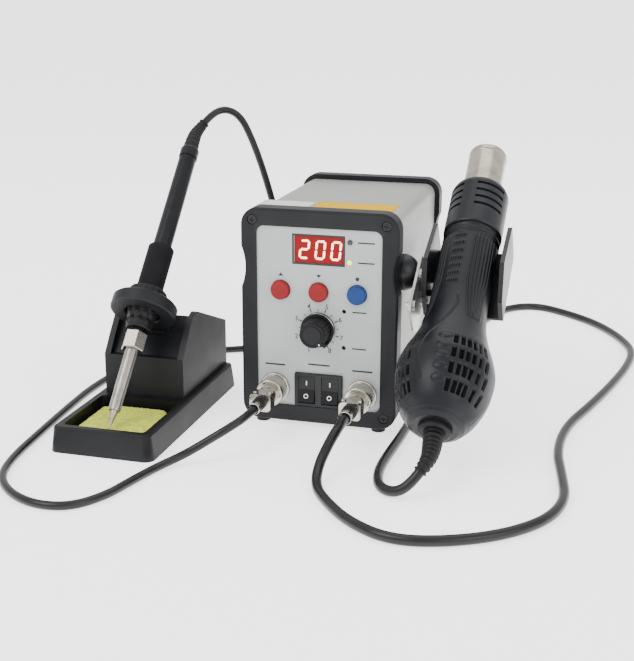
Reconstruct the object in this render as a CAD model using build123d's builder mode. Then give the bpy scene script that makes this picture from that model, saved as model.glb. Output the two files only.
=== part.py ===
from build123d import *

import os
from math import cos, radians, sin, tan

# Two-in-one soldering station: a box-shaped power unit, a hot-air gun lying in a cradle on its
# right side, and a soldering iron in a separate stand with a sponge tray.
# Millimetres. +Z up, the front panel faces -Y, +X is to the right of someone facing the panel.
# The origin is on the bench, under the middle of the set without its free cords.

# ---------------------------------------------------------------- placing
STATION_X = 15.56        # middle of the power unit
STATION_Y = -30.44       # plane of the front bezel
STAND_X = STATION_X - 111.7
STAND_FRONT = STATION_Y - 84.0

# ---------------------------------------------------------------- power unit
CASE_W = 100.0
CASE_H = 137.0
CASE_D = 150.0
FOOT_H = 2.5
MID_Z = FOOT_H + CASE_H / 2
BEZEL_D = 12.0
BEZEL_R = 11.0
BEZEL_ROUND = 1.5
BEZEL_LIP = 3.5          # how far a bezel stands proud of the sleeve
SCALLOP_R = 33.8
SCALLOP_DEPTH = 2.6
SCALLOP_Z = 102.0
SLEEVE_W = CASE_W - 2 * BEZEL_LIP
SLEEVE_H = CASE_H - 2 * BEZEL_LIP
SLEEVE_R = 7.0
SLEEVE_T = 1.2
SLEEVE_IN = 5.0          # from a bezel's face to the sleeve's end
WINDOW_W = 79.6
WINDOW_H = 115.3
WINDOW_R = 5.0
PANEL_W = 84.0
PANEL_H = 120.0
PANEL_R = 5.0
PANEL_T = 2.0
PANEL_IN = 1.2           # from a bezel's face to its panel
PANEL_BACK = PANEL_IN + PANEL_T
SCREW_X = 42.4
SCREW_Z = 61.0
SCREW_R = 1.5
SCREW_L = 16.0
SCREW_HEAD_R = 2.8
SCREW_HEAD_H = 1.3
POST_R = 2.8
FOOT_R = 4.5
FOOT_X = 38.0

# ---------------------------------------------------------------- front panel fittings
DISPLAY_W = 30.6
DISPLAY_H = 16.4
DISPLAY_Z = 115.0
LED_X = 19.6
LED_Z = (108.5, 120.9)
LED_R = 1.5
BUTTON_PITCH = 24.4
BUTTON_Z = 88.6
BUTTON_R = 6.0
BUTTON_OUT = 3.0
BUTTON_TRAVEL = 1.2
KNOB_Z = 64.9
KNOB_SKIRT_R = 10.8
KNOB_R = 8.8
KNOB_TIP_R = 7.9
KNOB_OUT = 14.5
KNOB_POINTS_TO = -50.0   # degrees from +X, seen from the front
SHAFT_R = 3.0
SHAFT_GAP = 0.05
TRIM_X = 16.2
TRIM_Z = {"trim_screw_air": 77.3, "trim_screw_solder": 53.9}
TRIM_R = 1.3
SWITCH_X = 0.3
SWITCH_Z = 24.9
SWITCH_W = 31.0
SWITCH_H = 21.8
ROCKER_PITCH = 15.2
ROCKER_W = 10.6
ROCKER_HALF = 8.3
ROCKER_TILT = 10.0
ROCKER_PIVOT_IN = 1.6
ROCKER_PIN_R = 1.2
SOCKET_X = 28.3
SOCKET_Z = 24.5
SOCKET_FLANGE_R = 9.6
PLUG_R = 6.2
BOARD_IN = 16.0

# ---------------------------------------------------------------- gun and its holder
GUN_X = STATION_X + 85.0
GUN_CAP = Vector(GUN_X, STATION_Y - 59.3, 30.2)
GUN_RISE = 35.5          # degrees above level
CAP_R = 16.5
CAP_T = 4.0
SHELL_T = 2.2
GRIP_R = 17.4
GRIP_TOP = 145.0
COLLAR_R = 18.6
COLLAR_TOP = 186.0
TUBE_R = 12.5
TUBE_T = 0.8
TUBE_TOP = 221.0
CRADLE_FROM = 98.0
CRADLE_TO = 152.0
CRADLE_HALF = 25.0
CRADLE_T = 2.8
CRADLE_FLOOR = -19.0    # the cradle's inner floor, below the gun's axis
FAN_AT = 38.0
FAN_R = 19.5
BOSS_Y = STATION_Y + 25.0
BOSS_Z = 99.0
BOSS_R = 11.5

# ---------------------------------------------------------------- stand and iron
BASE_W = 67.0
BASE_L = 152.0
BASE_H = 16.0
BASE_TAPER = 7.5
BASE_R = 6.0
BASE_WALL = 2.5
TRAY_FRONT = 7.0
TRAY_FLOOR = 5.0
TRAY_L = 55.0
TRAY_W = 53.0
SPONGE_W = 46.0
SPONGE_L = 50.0
SPONGE_T = 7.0
BLOCK_W = 54.0
CHEEK_T = 4.0
RING_R = 21.0
RING_BORE_R = 10.9
RING_FROM = 79.0
RING_TO = 87.4
IRON_TIP = Vector(STAND_X, STATION_Y - 69.0, 13.0)
IRON_RISE = 45.9

# ---------------------------------------------------------------- free cords
GUN_CORD_R = 3.0
IRON_CORD_R = 2.5

# Each route is a list of corners from the power unit's front: X from its middle, Y from its
# bezel, Z from the bench. The tube rounds every corner.
FLOOR_GUN = GUN_CORD_R + 0.1
FLOOR_IRON = IRON_CORD_R + 0.1
GUN_RELIEF_END = (82.0, -87.2, 15.1)
GUN_CORD_SPLIT = (54.5, -30.0, FLOOR_GUN)
gun_cord_hang_route = (
    GUN_RELIEF_END,
    (77.5, -91.7, 8.8),
    (69.5, -93.0, 3.6),
    (59.5, -87.0, FLOOR_GUN),
    (54.5, -70.0, FLOOR_GUN),
    (53.6, -48.0, FLOOR_GUN),
    GUN_CORD_SPLIT,
)
gun_cord_floor_route = (
    GUN_CORD_SPLIT,
    (55.4, -12.0, FLOOR_GUN),
    (56.0, 28.0, FLOOR_GUN),
    (58.5, 85.0, FLOOR_GUN),
    (58.0, 150.0, FLOOR_GUN),
    (62.0, 215.0, FLOOR_GUN),
    (68.0, 270.0, FLOOR_GUN),
    (82.0, 312.0, FLOOR_GUN),
    (106.0, 326.0, FLOOR_GUN),
    (133.0, 308.0, FLOOR_GUN),
    (158.0, 283.0, FLOOR_GUN),
    (177.0, 250.0, FLOOR_GUN),
    (189.0, 213.0, FLOOR_GUN),
    (186.0, 175.0, FLOOR_GUN),
    (177.0, 130.0, FLOOR_GUN),
    (165.0, 82.0, FLOOR_GUN),
    (152.0, 38.0, FLOOR_GUN),
    (149.5, -5.0, FLOOR_GUN),
    (156.0, -45.0, FLOOR_GUN),
    (160.0, -75.0, FLOOR_GUN),
    (153.0, -103.0, FLOOR_GUN),
    (133.0, -127.0, FLOOR_GUN),
    (105.0, -143.0, FLOOR_GUN),
    (78.0, -148.0, FLOOR_GUN),
    (54.0, -134.0, FLOOR_GUN),
    (36.0, -113.0, FLOOR_GUN),
    (25.0, -95.0, FLOOR_GUN),
    (22.5, -79.5, 9.0),
    (25.5, -66.0, 18.5),
    (28.3, -54.0, 24.5),
    (28.3, -43.0, 24.5),
)
IRON_RELIEF_END = (-111.0, 101.5, 177.5)
IRON_CORD_SPLIT = (-68.7, 145.0, 85.0)
iron_cord_hang_route = (
    IRON_RELIEF_END,
    (-107.0, 108.5, 184.0),
    (-99.9, 117.6, 186.2),
    (-92.6, 125.6, 180.2),
    (-87.0, 130.5, 166.4),
    (-80.6, 134.8, 146.0),
    (-75.0, 139.0, 123.0),
    (-70.8, 143.2, 102.0),
    IRON_CORD_SPLIT,
)
iron_cord_floor_route = (
    IRON_CORD_SPLIT,
    (-66.85, 146.6, 70.0),
    (-66.3, 147.0, 53.0),
    (-66.5, 147.5, 34.0),
    (-70.5, 147.5, 16.5),
    (-83.0, 145.0, FLOOR_IRON),
    (-102.0, 137.0, FLOOR_IRON),
    (-125.0, 123.5, FLOOR_IRON),
    (-150.0, 103.0, FLOOR_IRON),
    (-165.0, 68.0, FLOOR_IRON),
    (-169.0, 25.0, FLOOR_IRON),
    (-166.0, -20.0, FLOOR_IRON),
    (-162.0, -65.0, FLOOR_IRON),
    (-158.0, -105.0, FLOOR_IRON),
    (-150.0, -132.0, FLOOR_IRON),
    (-133.0, -150.0, FLOOR_IRON),
    (-113.0, -159.0, FLOOR_IRON),
    (-94.0, -156.0, FLOOR_IRON),
    (-82.0, -138.0, FLOOR_IRON),
    (-76.5, -115.0, FLOOR_IRON),
    (-70.5, -93.0, FLOOR_IRON),
    (-60.0, -79.0, 5.5),
    (-47.5, -72.0, 13.0),
    (-35.5, -65.5, 20.5),
    (-28.3, -54.5, 24.5),
    (-28.3, -43.0, 24.5),
)

os.makedirs("parts", exist_ok=True)


# ---------------------------------------------------------------- frames and helpers
def facing(depth, height=0.0):
    """A plane parallel to the front panel, depth behind the bezel's face, looking out."""
    return Plane(origin=(STATION_X, STATION_Y + depth, height), x_dir=(1, 0, 0), z_dir=(0, -1, 0))


def level(height):
    """A level plane under the power unit's front edge."""
    return Plane(origin=(STATION_X, STATION_Y, height))


def stand_level(height):
    """A level plane whose origin is the middle of the stand's front edge."""
    return Plane(origin=(STAND_X, STAND_FRONT, height))


gun_axis = Vector(0, cos(radians(GUN_RISE)), sin(radians(GUN_RISE)))
gun_up = Vector(0, -sin(radians(GUN_RISE)), cos(radians(GUN_RISE)))
iron_axis = Vector(0, cos(radians(IRON_RISE)), sin(radians(IRON_RISE)))
iron_up = Vector(0, -sin(radians(IRON_RISE)), cos(radians(IRON_RISE)))


def across_gun(along):
    """A plane square to the gun, along millimetres from its end cap, looking to the nozzle."""
    return Plane(origin=GUN_CAP + gun_axis * along, x_dir=(1, 0, 0), z_dir=gun_axis)


def across_iron(along):
    """A plane square to the iron, along millimetres from its tip, looking to its cord."""
    return Plane(origin=IRON_TIP + iron_axis * along, x_dir=(1, 0, 0), z_dir=iron_axis)


gun_section = Plane(origin=GUN_CAP, x_dir=(1, 0, 0), z_dir=gun_up)
iron_section = Plane(origin=IRON_TIP, x_dir=(1, 0, 0), z_dir=iron_up)
gun_line = Axis(GUN_CAP, gun_axis)
iron_line = Axis(IRON_TIP, iron_axis)


def gun_side(x):
    """The gun's side view at x: local X along the gun, local Y up from its cradle."""
    return Plane(origin=GUN_CAP + Vector(x, 0, 0), x_dir=gun_axis, z_dir=(1, 0, 0))


def stand_side(x):
    """The stand's side view, x from its middle: local X is Y from its front edge, local Y is Z."""
    return Plane(origin=(STAND_X + x, STAND_FRONT, 0), x_dir=(0, 1, 0), z_dir=(1, 0, 0))


def write(builder, name):
    """Label a finished piece and write its STEP file."""
    builder.part.label = name
    export_step(builder.part, f"parts/{name}.step")


def turned(plane, line, *corners):
    """Turn a closed outline of (radius, along) corners about the line."""
    with BuildSketch(plane) as shape:
        with BuildLine():
            Polyline(*corners, close=True)
        make_face()
    revolve(shape.sketch, axis=line)


def peg(plane, radius, length, mode=Mode.ADD):
    """A plain cylinder from the plane, along its normal when length is positive."""
    with BuildSketch(plane) as shape:
        Circle(radius)
    extrude(shape.sketch, amount=length, mode=mode)


# ---------------------------------------------------------------- bezels, sleeve, panels
def bezel_outline():
    """A rounded oblong with a shallow finger scallop in each side."""
    RectangleRounded(CASE_W, CASE_H, BEZEL_R)
    scallop_x = CASE_W / 2 + SCALLOP_R - SCALLOP_DEPTH
    with Locations((-scallop_x, SCALLOP_Z - MID_Z), (scallop_x, SCALLOP_Z - MID_Z)):
        Circle(SCALLOP_R, mode=Mode.SUBTRACT)


def add_bezel(front, inward):
    """A bezel whose face is at depth front and whose body reaches BEZEL_D inward (+1 or -1)."""
    with BuildSketch(facing(front, MID_Z)) as shape:
        bezel_outline()
    extrude(shape.sketch, amount=-inward * BEZEL_D)
    face_edges = edges().filter_by_position(Axis.Y, STATION_Y + front - 0.01, STATION_Y + front + 0.01)
    fillet(face_edges, BEZEL_ROUND)
    with BuildSketch(facing(front, MID_Z)) as shape:
        RectangleRounded(WINDOW_W, WINDOW_H, WINDOW_R)
    extrude(shape.sketch, amount=-inward * BEZEL_D, mode=Mode.SUBTRACT)
    with BuildSketch(facing(front + inward * PANEL_IN, MID_Z)) as shape:
        RectangleRounded(PANEL_W, PANEL_H, PANEL_R)
    extrude(shape.sketch, amount=-inward * BEZEL_D, mode=Mode.SUBTRACT)
    with BuildSketch(facing(front + inward * SLEEVE_IN, MID_Z)) as shape:
        RectangleRounded(SLEEVE_W, SLEEVE_H, SLEEVE_R)
    extrude(shape.sketch, amount=-inward * BEZEL_D, mode=Mode.SUBTRACT)
    with BuildSketch(facing(front, MID_Z)) as shape:
        with GridLocations(2 * SCREW_X, 2 * SCREW_Z, 2, 2):
            Circle(SCREW_R + 0.1)
    extrude(shape.sketch, amount=-inward * BEZEL_D, mode=Mode.SUBTRACT)
    with BuildSketch(facing(front, MID_Z)) as shape:
        with GridLocations(2 * SCREW_X, 2 * SCREW_Z, 2, 2):
            Circle(SCREW_HEAD_R + 0.4)
    extrude(shape.sketch, amount=-inward * (SCREW_HEAD_H + 0.4), mode=Mode.SUBTRACT)


with BuildPart() as front_bezel:
    add_bezel(0.0, 1)
write(front_bezel, "front_bezel")

with BuildPart() as rear_bezel:
    add_bezel(CASE_D, -1)
write(rear_bezel, "rear_bezel")

with BuildPart() as case_sleeve:
    with BuildSketch(facing(SLEEVE_IN, MID_Z)):
        RectangleRounded(SLEEVE_W, SLEEVE_H, SLEEVE_R)
        inner_w = SLEEVE_W - 2 * SLEEVE_T
        inner_h = SLEEVE_H - 2 * SLEEVE_T
        RectangleRounded(inner_w, inner_h, SLEEVE_R - SLEEVE_T, mode=Mode.SUBTRACT)
        with GridLocations(2 * SCREW_X, 2 * SCREW_Z, 2, 2):
            Circle(POST_R)
            Circle(SCREW_R + 0.05, mode=Mode.SUBTRACT)
    extrude(amount=-(CASE_D - 2 * SLEEVE_IN))
    with BuildSketch(Plane.YZ.offset(STATION_X)):
        with Locations((BOSS_Y, BOSS_Z)):
            Circle(SCREW_R + 0.05)
    extrude(amount=CASE_W, mode=Mode.SUBTRACT)
write(case_sleeve, "case_sleeve")


def add_case_screws(front, inward):
    """Four pan-head screws with cross recesses, heads outward."""
    head_at = front + inward * 0.4
    with BuildSketch(facing(head_at, MID_Z)) as shape:
        with GridLocations(2 * SCREW_X, 2 * SCREW_Z, 2, 2):
            Circle(SCREW_HEAD_R)
    extrude(shape.sketch, amount=-inward * SCREW_HEAD_H)
    with BuildSketch(facing(head_at, MID_Z)) as shape:
        with GridLocations(2 * SCREW_X, 2 * SCREW_Z, 2, 2):
            Circle(SCREW_R)
    extrude(shape.sketch, amount=-inward * SCREW_L)
    with BuildSketch(facing(head_at, MID_Z)) as shape:
        with GridLocations(2 * SCREW_X, 2 * SCREW_Z, 2, 2):
            Rectangle(3.2, 0.8)
            Rectangle(0.8, 3.2)
    extrude(shape.sketch, amount=-inward * 0.9, mode=Mode.SUBTRACT)


with BuildPart() as bezel_screws:
    add_case_screws(0.0, 1)
    add_case_screws(CASE_D, -1)
write(bezel_screws, "bezel_screws")

with BuildPart() as case_feet:
    with BuildSketch(level(0)):
        with Locations(*[(x, y) for x in (-FOOT_X, FOOT_X) for y in (BEZEL_D / 2, CASE_D - BEZEL_D / 2)]):
            Circle(FOOT_R)
    extrude(amount=FOOT_H)
    fillet(edges().group_by(Axis.Z)[0], 0.6)
write(case_feet, "case_feet")

with BuildPart() as front_panel:
    with BuildSketch(facing(PANEL_IN, MID_Z)):
        RectangleRounded(PANEL_W, PANEL_H, PANEL_R)
    extrude(amount=-PANEL_T)
    with BuildSketch(facing(PANEL_IN)):
        with Locations((0, DISPLAY_Z)):
            Rectangle(DISPLAY_W + 0.6, DISPLAY_H + 0.6)
        with Locations(*[(LED_X, z) for z in LED_Z]):
            Circle(LED_R + 0.1)
        with Locations(*[(x, BUTTON_Z) for x in (-BUTTON_PITCH, 0, BUTTON_PITCH)]):
            Circle(BUTTON_R + 0.3)
        with Locations((0, KNOB_Z)):
            Circle(3.6)
        with Locations(*[(TRIM_X, z) for z in TRIM_Z.values()]):
            Circle(1.4)
        with Locations((SWITCH_X, SWITCH_Z)):
            Rectangle(SWITCH_W - 1.6, SWITCH_H - 1.2)
        with Locations((-SOCKET_X, SOCKET_Z), (SOCKET_X, SOCKET_Z)):
            Circle(8.05)
    extrude(amount=-PANEL_T, mode=Mode.SUBTRACT)
write(front_panel, "front_panel")

INLET_X = -18.0
INLET_Z = 34.0
with BuildPart() as rear_panel:
    with BuildSketch(facing(CASE_D - PANEL_IN, MID_Z)):
        RectangleRounded(PANEL_W, PANEL_H, PANEL_R)
    extrude(amount=PANEL_T)
    with BuildSketch(facing(CASE_D - PANEL_IN)):
        with Locations((INLET_X, INLET_Z)):
            Rectangle(27.4, 20.4)
        with Locations((0, 98)):
            with GridLocations(0, 6.0, 1, 7):
                SlotOverall(46, 2.6)
    extrude(amount=PANEL_T, mode=Mode.SUBTRACT)
write(rear_panel, "rear_panel")

with BuildPart() as mains_inlet:
    with BuildSketch(facing(CASE_D + 1.4)):
        with Locations((INLET_X, INLET_Z)):
            RectangleRounded(34, 26, 2.0)
    extrude(amount=PANEL_IN + 1.4)
    with BuildSketch(facing(CASE_D + 1.4)):
        with Locations((INLET_X, INLET_Z)):
            Rectangle(27.2, 20.2)
    extrude(amount=22)
    with BuildSketch(facing(CASE_D + 1.4)):
        with Locations((INLET_X, INLET_Z)):
            RectangleRounded(24, 17, 2.5)
    extrude(amount=18, mode=Mode.SUBTRACT)
    with BuildSketch(facing(CASE_D - 16.6)):
        with Locations((INLET_X - 7, INLET_Z - 1.5), (INLET_X, INLET_Z + 2.5), (INLET_X + 7, INLET_Z - 1.5)):
            Rectangle(2.0, 4.0)
    extrude(amount=-12)
write(mains_inlet, "mains_inlet")

# ---------------------------------------------------------------- display and lamps
with BuildPart() as display_window:
    with BuildSketch(facing(PANEL_IN + 0.3)):
        with Locations((0, DISPLAY_Z)):
            Rectangle(DISPLAY_W, DISPLAY_H)
    extrude(amount=-1.7)
write(display_window, "display_window")

with BuildPart() as display_module:
    with BuildSketch(facing(PANEL_BACK + 0.2)):
        with Locations((0, DISPLAY_Z)):
            Rectangle(30.2, 16.0)
    extrude(amount=-(BOARD_IN - PANEL_BACK - 0.2))
    with BuildSketch(facing(PANEL_BACK + 0.2)):
        with Locations(*[(10 * k, DISPLAY_Z + s * 3.1) for k in (-1, 0, 1) for s in (-1, 1)]):
            Rectangle(6.6, 6.2)
            Rectangle(4.6, 4.4, mode=Mode.SUBTRACT)
    extrude(amount=-0.3, mode=Mode.SUBTRACT)
write(display_module, "display_module")

with BuildPart() as panel_leds:
    for led_z in LED_Z:
        with BuildSketch(facing(BOARD_IN)):
            with Locations((LED_X, led_z)):
                Rectangle(2.0, 0.6)
        extrude(amount=8)
        with BuildSketch(facing(BOARD_IN - 8)):
            with Locations((LED_X, led_z)):
                Circle(LED_R)
        extrude(amount=BOARD_IN - 8 - PANEL_IN + 0.6)
    fillet(edges().group_by(Axis.Y)[0], LED_R - 0.3)
write(panel_leds, "panel_leds")

# ---------------------------------------------------------------- push buttons
for button_name, button_x in (
    ("button_up", -BUTTON_PITCH),
    ("button_down", 0.0),
    ("button_set", BUTTON_PITCH),
):
    with BuildPart() as push_button:
        with BuildSketch(facing(PANEL_BACK + 0.2)):
            with Locations((button_x, BUTTON_Z)):
                Circle(BUTTON_R)
        extrude(amount=PANEL_T + 0.2 + BUTTON_OUT)
        fillet(edges().group_by(Axis.Y)[0], 0.8)
        with BuildSketch(facing(PANEL_BACK + 0.2)):
            with Locations((button_x, BUTTON_Z)):
                Circle(BUTTON_R + 1.0)
        extrude(amount=-1.2)
        with BuildSketch(facing(PANEL_BACK + 1.4)):
            with Locations((button_x, BUTTON_Z)):
                Circle(2.0)
        extrude(amount=-5.0)
    write(push_button, button_name)

# ---------------------------------------------------------------- airflow knob
knob_line = Axis((STATION_X, STATION_Y, KNOB_Z), (0, -1, 0))
with BuildPart() as knob:
    with BuildSketch(facing(0.6, KNOB_Z)):
        Circle(KNOB_SKIRT_R)
    extrude(amount=3.4)
    fillet(edges().group_by(Axis.Y)[0], 0.6)
    with BuildSketch(facing(-2.8, KNOB_Z)):
        Circle(KNOB_R)
    with BuildSketch(facing(-KNOB_OUT, KNOB_Z)):
        Circle(KNOB_TIP_R)
    loft()
    fillet(edges().group_by(Axis.Y)[0], 0.8)
    with BuildSketch(facing(-KNOB_OUT, KNOB_Z)):
        Circle(6.4)
        Circle(5.9, mode=Mode.SUBTRACT)
    extrude(amount=-0.3, mode=Mode.SUBTRACT)
    with BuildSketch(facing(-1.5, KNOB_Z)):
        with PolarLocations(KNOB_R + 0.9, 1, start_angle=KNOB_POINTS_TO):
            Rectangle(2.6, 2.0)
    extrude(amount=8.0)
    with BuildSketch(facing(0.6, KNOB_Z)):
        Circle(6.4)
    extrude(amount=4.4, mode=Mode.SUBTRACT)
    with BuildSketch(facing(0.6, KNOB_Z)):
        Circle(SHAFT_R + 0.01)
    extrude(amount=12.0, mode=Mode.SUBTRACT)
write(knob, "knob")

with BuildPart() as pot_shaft:
    peg(facing(8.0, KNOB_Z), SHAFT_R, 8.0 + 11.0)
write(pot_shaft, "pot_shaft")

with BuildPart() as potentiometer:
    peg(facing(12.0, KNOB_Z), 8.2, 12.0 - PANEL_BACK)
    peg(facing(PANEL_BACK, KNOB_Z), 3.5, PANEL_BACK + 3.0)
    with BuildSketch(facing(PANEL_IN, KNOB_Z)):
        RegularPolygon(5.0, 6, major_radius=False)
    extrude(amount=2.0)
    with BuildSketch(facing(8.2, KNOB_Z)):
        Circle(SHAFT_R + SHAFT_GAP)
    extrude(amount=8.2 + 3.0, mode=Mode.SUBTRACT)
    with BuildSketch(facing(11.0, KNOB_Z)):
        with Locations((-4.0, -9.5), (0, -9.5), (4.0, -9.5)):
            Rectangle(1.2, 6.0)
    extrude(amount=1.0)
write(potentiometer, "potentiometer")

# ---------------------------------------------------------------- power rockers
ROCKER_GAP = 0.3
rocker_hole_w = ROCKER_W + 2 * ROCKER_GAP
rocker_hole_h = 18.2
with BuildPart() as switch_frame:
    with BuildSketch(facing(PANEL_IN)):
        with Locations((SWITCH_X, SWITCH_Z)):
            RectangleRounded(SWITCH_W, SWITCH_H, 1.0)
    extrude(amount=2.0)
    fillet(edges().group_by(Axis.Y)[0], 0.5)
    with BuildSketch(facing(PANEL_IN)):
        with Locations((SWITCH_X, SWITCH_Z)):
            Rectangle(SWITCH_W - 1.8, SWITCH_H - 1.4)
    extrude(amount=-13.0)
    with BuildSketch(facing(-2.0)):
        with Locations((SWITCH_X, SWITCH_Z)):
            with GridLocations(ROCKER_PITCH, 1, 2, 1):
                Rectangle(rocker_hole_w, rocker_hole_h)
    extrude(amount=-12.0, mode=Mode.SUBTRACT)
    for rocker_x in (-ROCKER_PITCH / 2, ROCKER_PITCH / 2):
        pin_start = STATION_X + SWITCH_X + rocker_x - rocker_hole_w / 2 - 1.1
        with BuildSketch(Plane.YZ.offset(pin_start)):
            with Locations((STATION_Y + ROCKER_PIVOT_IN, SWITCH_Z)):
                Circle(ROCKER_PIN_R + SHAFT_GAP)
        extrude(amount=rocker_hole_w + 2.2, mode=Mode.SUBTRACT)
    with BuildSketch(facing(PANEL_IN + 13.0)):
        with Locations((SWITCH_X, SWITCH_Z)):
            with GridLocations(ROCKER_PITCH, 7.0, 2, 2):
                Rectangle(4.8, 0.8)
    extrude(amount=-7.0)
write(switch_frame, "switch_frame")

for rocker_name, rocker_x in (("rocker_solder", -ROCKER_PITCH / 2), ("rocker_air", ROCKER_PITCH / 2)):
    pivot_x = STATION_X + SWITCH_X + rocker_x
    pivot = Vector(pivot_x, STATION_Y + ROCKER_PIVOT_IN, SWITCH_Z)
    tilt = radians(ROCKER_TILT)
    rocker_up = Vector(0, sin(tilt), cos(tilt))
    rocker_out = Vector(0, -cos(tilt), sin(tilt))
    with BuildPart() as rocker:
        rocker_plane = Plane(origin=pivot - Vector(ROCKER_W / 2, 0, 0), x_dir=rocker_up, z_dir=(1, 0, 0))
        with BuildSketch(rocker_plane):
            with BuildLine():
                Polyline(
                    (-ROCKER_HALF, 3.4),
                    (0, 2.3),
                    (ROCKER_HALF, 3.4),
                    (ROCKER_HALF, -0.5),
                    (3.0, -4.6),
                    (-3.0, -4.6),
                    (-ROCKER_HALF, -0.5),
                    close=True,
                )
            make_face()
        extrude(amount=ROCKER_W)
        with BuildSketch(Plane.YZ.offset(pivot_x - ROCKER_W / 2 - 1.1)):
            with Locations((pivot.Y, pivot.Z)):
                Circle(ROCKER_PIN_R)
        extrude(amount=ROCKER_W + 2.2)
    write(rocker, rocker_name)

# ---------------------------------------------------------------- trimmers and control board
BOARD_Z = 86.0
with BuildPart() as control_board:
    with BuildSketch(facing(BOARD_IN)):
        with Locations((0, BOARD_Z)):
            Rectangle(76.0, 78.0)
    extrude(amount=-1.6)
    with BuildSketch(facing(BOARD_IN)):
        with Locations(*[(TRIM_X, z) for z in TRIM_Z.values()]):
            Rectangle(7.0, 7.0)
    extrude(amount=BOARD_IN - 6.0)
    with BuildSketch(facing(6.0)):
        with Locations(*[(TRIM_X, z) for z in TRIM_Z.values()]):
            Circle(TRIM_R + SHAFT_GAP)
    extrude(amount=-2.0, mode=Mode.SUBTRACT)
    with BuildSketch(facing(BOARD_IN)):
        with Locations(*[(x, BUTTON_Z) for x in (-BUTTON_PITCH, 0, BUTTON_PITCH)]):
            Rectangle(6.0, 6.0)
    extrude(amount=4.5)
    with BuildSketch(facing(BOARD_IN + 1.6)):
        with Locations((-20, 70)):
            Rectangle(16, 12)
        with Locations((22, 112)):
            Rectangle(14, 20)
        with Locations((-18, 104), (-4, 104)):
            Circle(5.0)
    extrude(amount=-12.0)
write(control_board, "control_board")

for trim_name, trim_z in TRIM_Z.items():
    with BuildPart() as trim_screw:
        with BuildSketch(facing(7.9)):
            with Locations((TRIM_X, trim_z)):
                Circle(TRIM_R)
        extrude(amount=2.2)
        with BuildSketch(facing(5.7)):
            with Locations((TRIM_X, trim_z)):
                Rectangle(3.0, 0.5, rotation=35)
        extrude(amount=-0.7, mode=Mode.SUBTRACT)
    write(trim_screw, trim_name)

with BuildPart() as power_transformer:
    with BuildSketch(level(FOOT_H + BEZEL_LIP + SLEEVE_T)):
        with Locations((8, 92)):
            Rectangle(57, 38)
    extrude(amount=48)
    with BuildSketch(level(FOOT_H + BEZEL_LIP + SLEEVE_T + 9)):
        with Locations((8, 92)):
            RectangleRounded(36, 58, 6)
    extrude(amount=30)
write(power_transformer, "power_transformer")

# ---------------------------------------------------------------- round output connectors
PLUG_TAIL = 43.0
for socket_name, side in (("solder_socket", -1), ("air_socket", 1)):
    socket_plane = Plane(
        origin=(STATION_X + side * SOCKET_X, STATION_Y, SOCKET_Z), x_dir=(1, 0, 0), z_dir=(0, -1, 0)
    )
    with BuildPart() as socket:
        peg(socket_plane.offset(-PANEL_IN), SOCKET_FLANGE_R, 2.6)
        fillet(edges().group_by(Axis.Y)[0], 0.7)
        peg(socket_plane.offset(-12.0), 8.0, 12.0 - PANEL_IN)
        peg(socket_plane.offset(-PANEL_IN + 2.6), 7.2, 6.6)
        peg(socket_plane.offset(-10.0), 6.0, 20.0, mode=Mode.SUBTRACT)
        with BuildSketch(socket_plane.offset(-12.0)):
            with PolarLocations(3.2, 5):
                Circle(0.6)
        extrude(amount=9.0)
    write(socket, socket_name)

for plug_name, side in (("solder_plug", -1), ("air_plug", 1)):
    plug_plane = Plane(
        origin=(STATION_X + side * SOCKET_X, STATION_Y, SOCKET_Z), x_dir=(1, 0, 0), z_dir=(0, -1, 0)
    )
    cord_r = IRON_CORD_R if side < 0 else GUN_CORD_R
    with BuildPart() as plug:
        peg(plug_plane.offset(3.2), 5.8, 4.9)
        peg(plug_plane.offset(8.1), 7.2, 1.4)
        peg(plug_plane.offset(9.5), PLUG_R, 12.5)
        with BuildSketch(plug_plane.offset(22.0)):
            RectangleRounded(13.4, 11.0, 2.5)
        extrude(amount=9.0)
        peg(plug_plane.offset(31.0), cord_r + 1.2, 12.0)
        fillet(edges().group_by(Axis.Y)[0], 0.6)
        for screw_x in (-4.6, 4.6):
            screw_foot = plug_plane.from_local_coords(Vector(screw_x, 0, 26.5))
            with BuildSketch(Plane(origin=screw_foot, x_dir=(1, 0, 0), z_dir=(0, 0, 1))):
                Circle(1.5)
            extrude(amount=6.2)
        peg(plug_plane.offset(PLUG_TAIL), cord_r + 0.05, -1.0, mode=Mode.SUBTRACT)
    write(plug, plug_name)

for ring_name, side in (("solder_lock_ring", -1), ("air_lock_ring", 1)):
    ring_plane = Plane(
        origin=(STATION_X + side * SOCKET_X, STATION_Y, SOCKET_Z), x_dir=(1, 0, 0), z_dir=(0, -1, 0)
    )
    with BuildPart() as lock_ring:
        peg(ring_plane.offset(1.7), 8.6, 11.3)
        fillet(edges().group_by(Axis.Y)[0], 0.8)
        peg(ring_plane.offset(1.7), 7.3, 8.0, mode=Mode.SUBTRACT)
        peg(ring_plane.offset(1.7), PLUG_R + 0.08, 12.0, mode=Mode.SUBTRACT)
        with BuildSketch(ring_plane.offset(3.5)):
            with PolarLocations(8.75, 30):
                Circle(0.35)
        extrude(amount=7.5, mode=Mode.SUBTRACT)
    write(lock_ring, ring_name)

# ---------------------------------------------------------------- gun holder
PLATE_FROM = -28.0       # the plate's left face, from the gun's axis
PLATE_T = 1.5
plate_outline = ((76, 12), (120, 12), (120, -21), (84, -21), (76, -10))
cradle_screws = ((104.0, -13.0), (115.0, -13.0))
plate_screw = (84.0, 5.5)
boss_offset = Vector(0, BOSS_Y, BOSS_Z) - Vector(0, GUN_CAP.Y, GUN_CAP.Z)
boss_at = (boss_offset.dot(gun_axis), boss_offset.dot(gun_up))
wall_x = STATION_X + SLEEVE_W / 2
plate_x = GUN_X + PLATE_FROM

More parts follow.
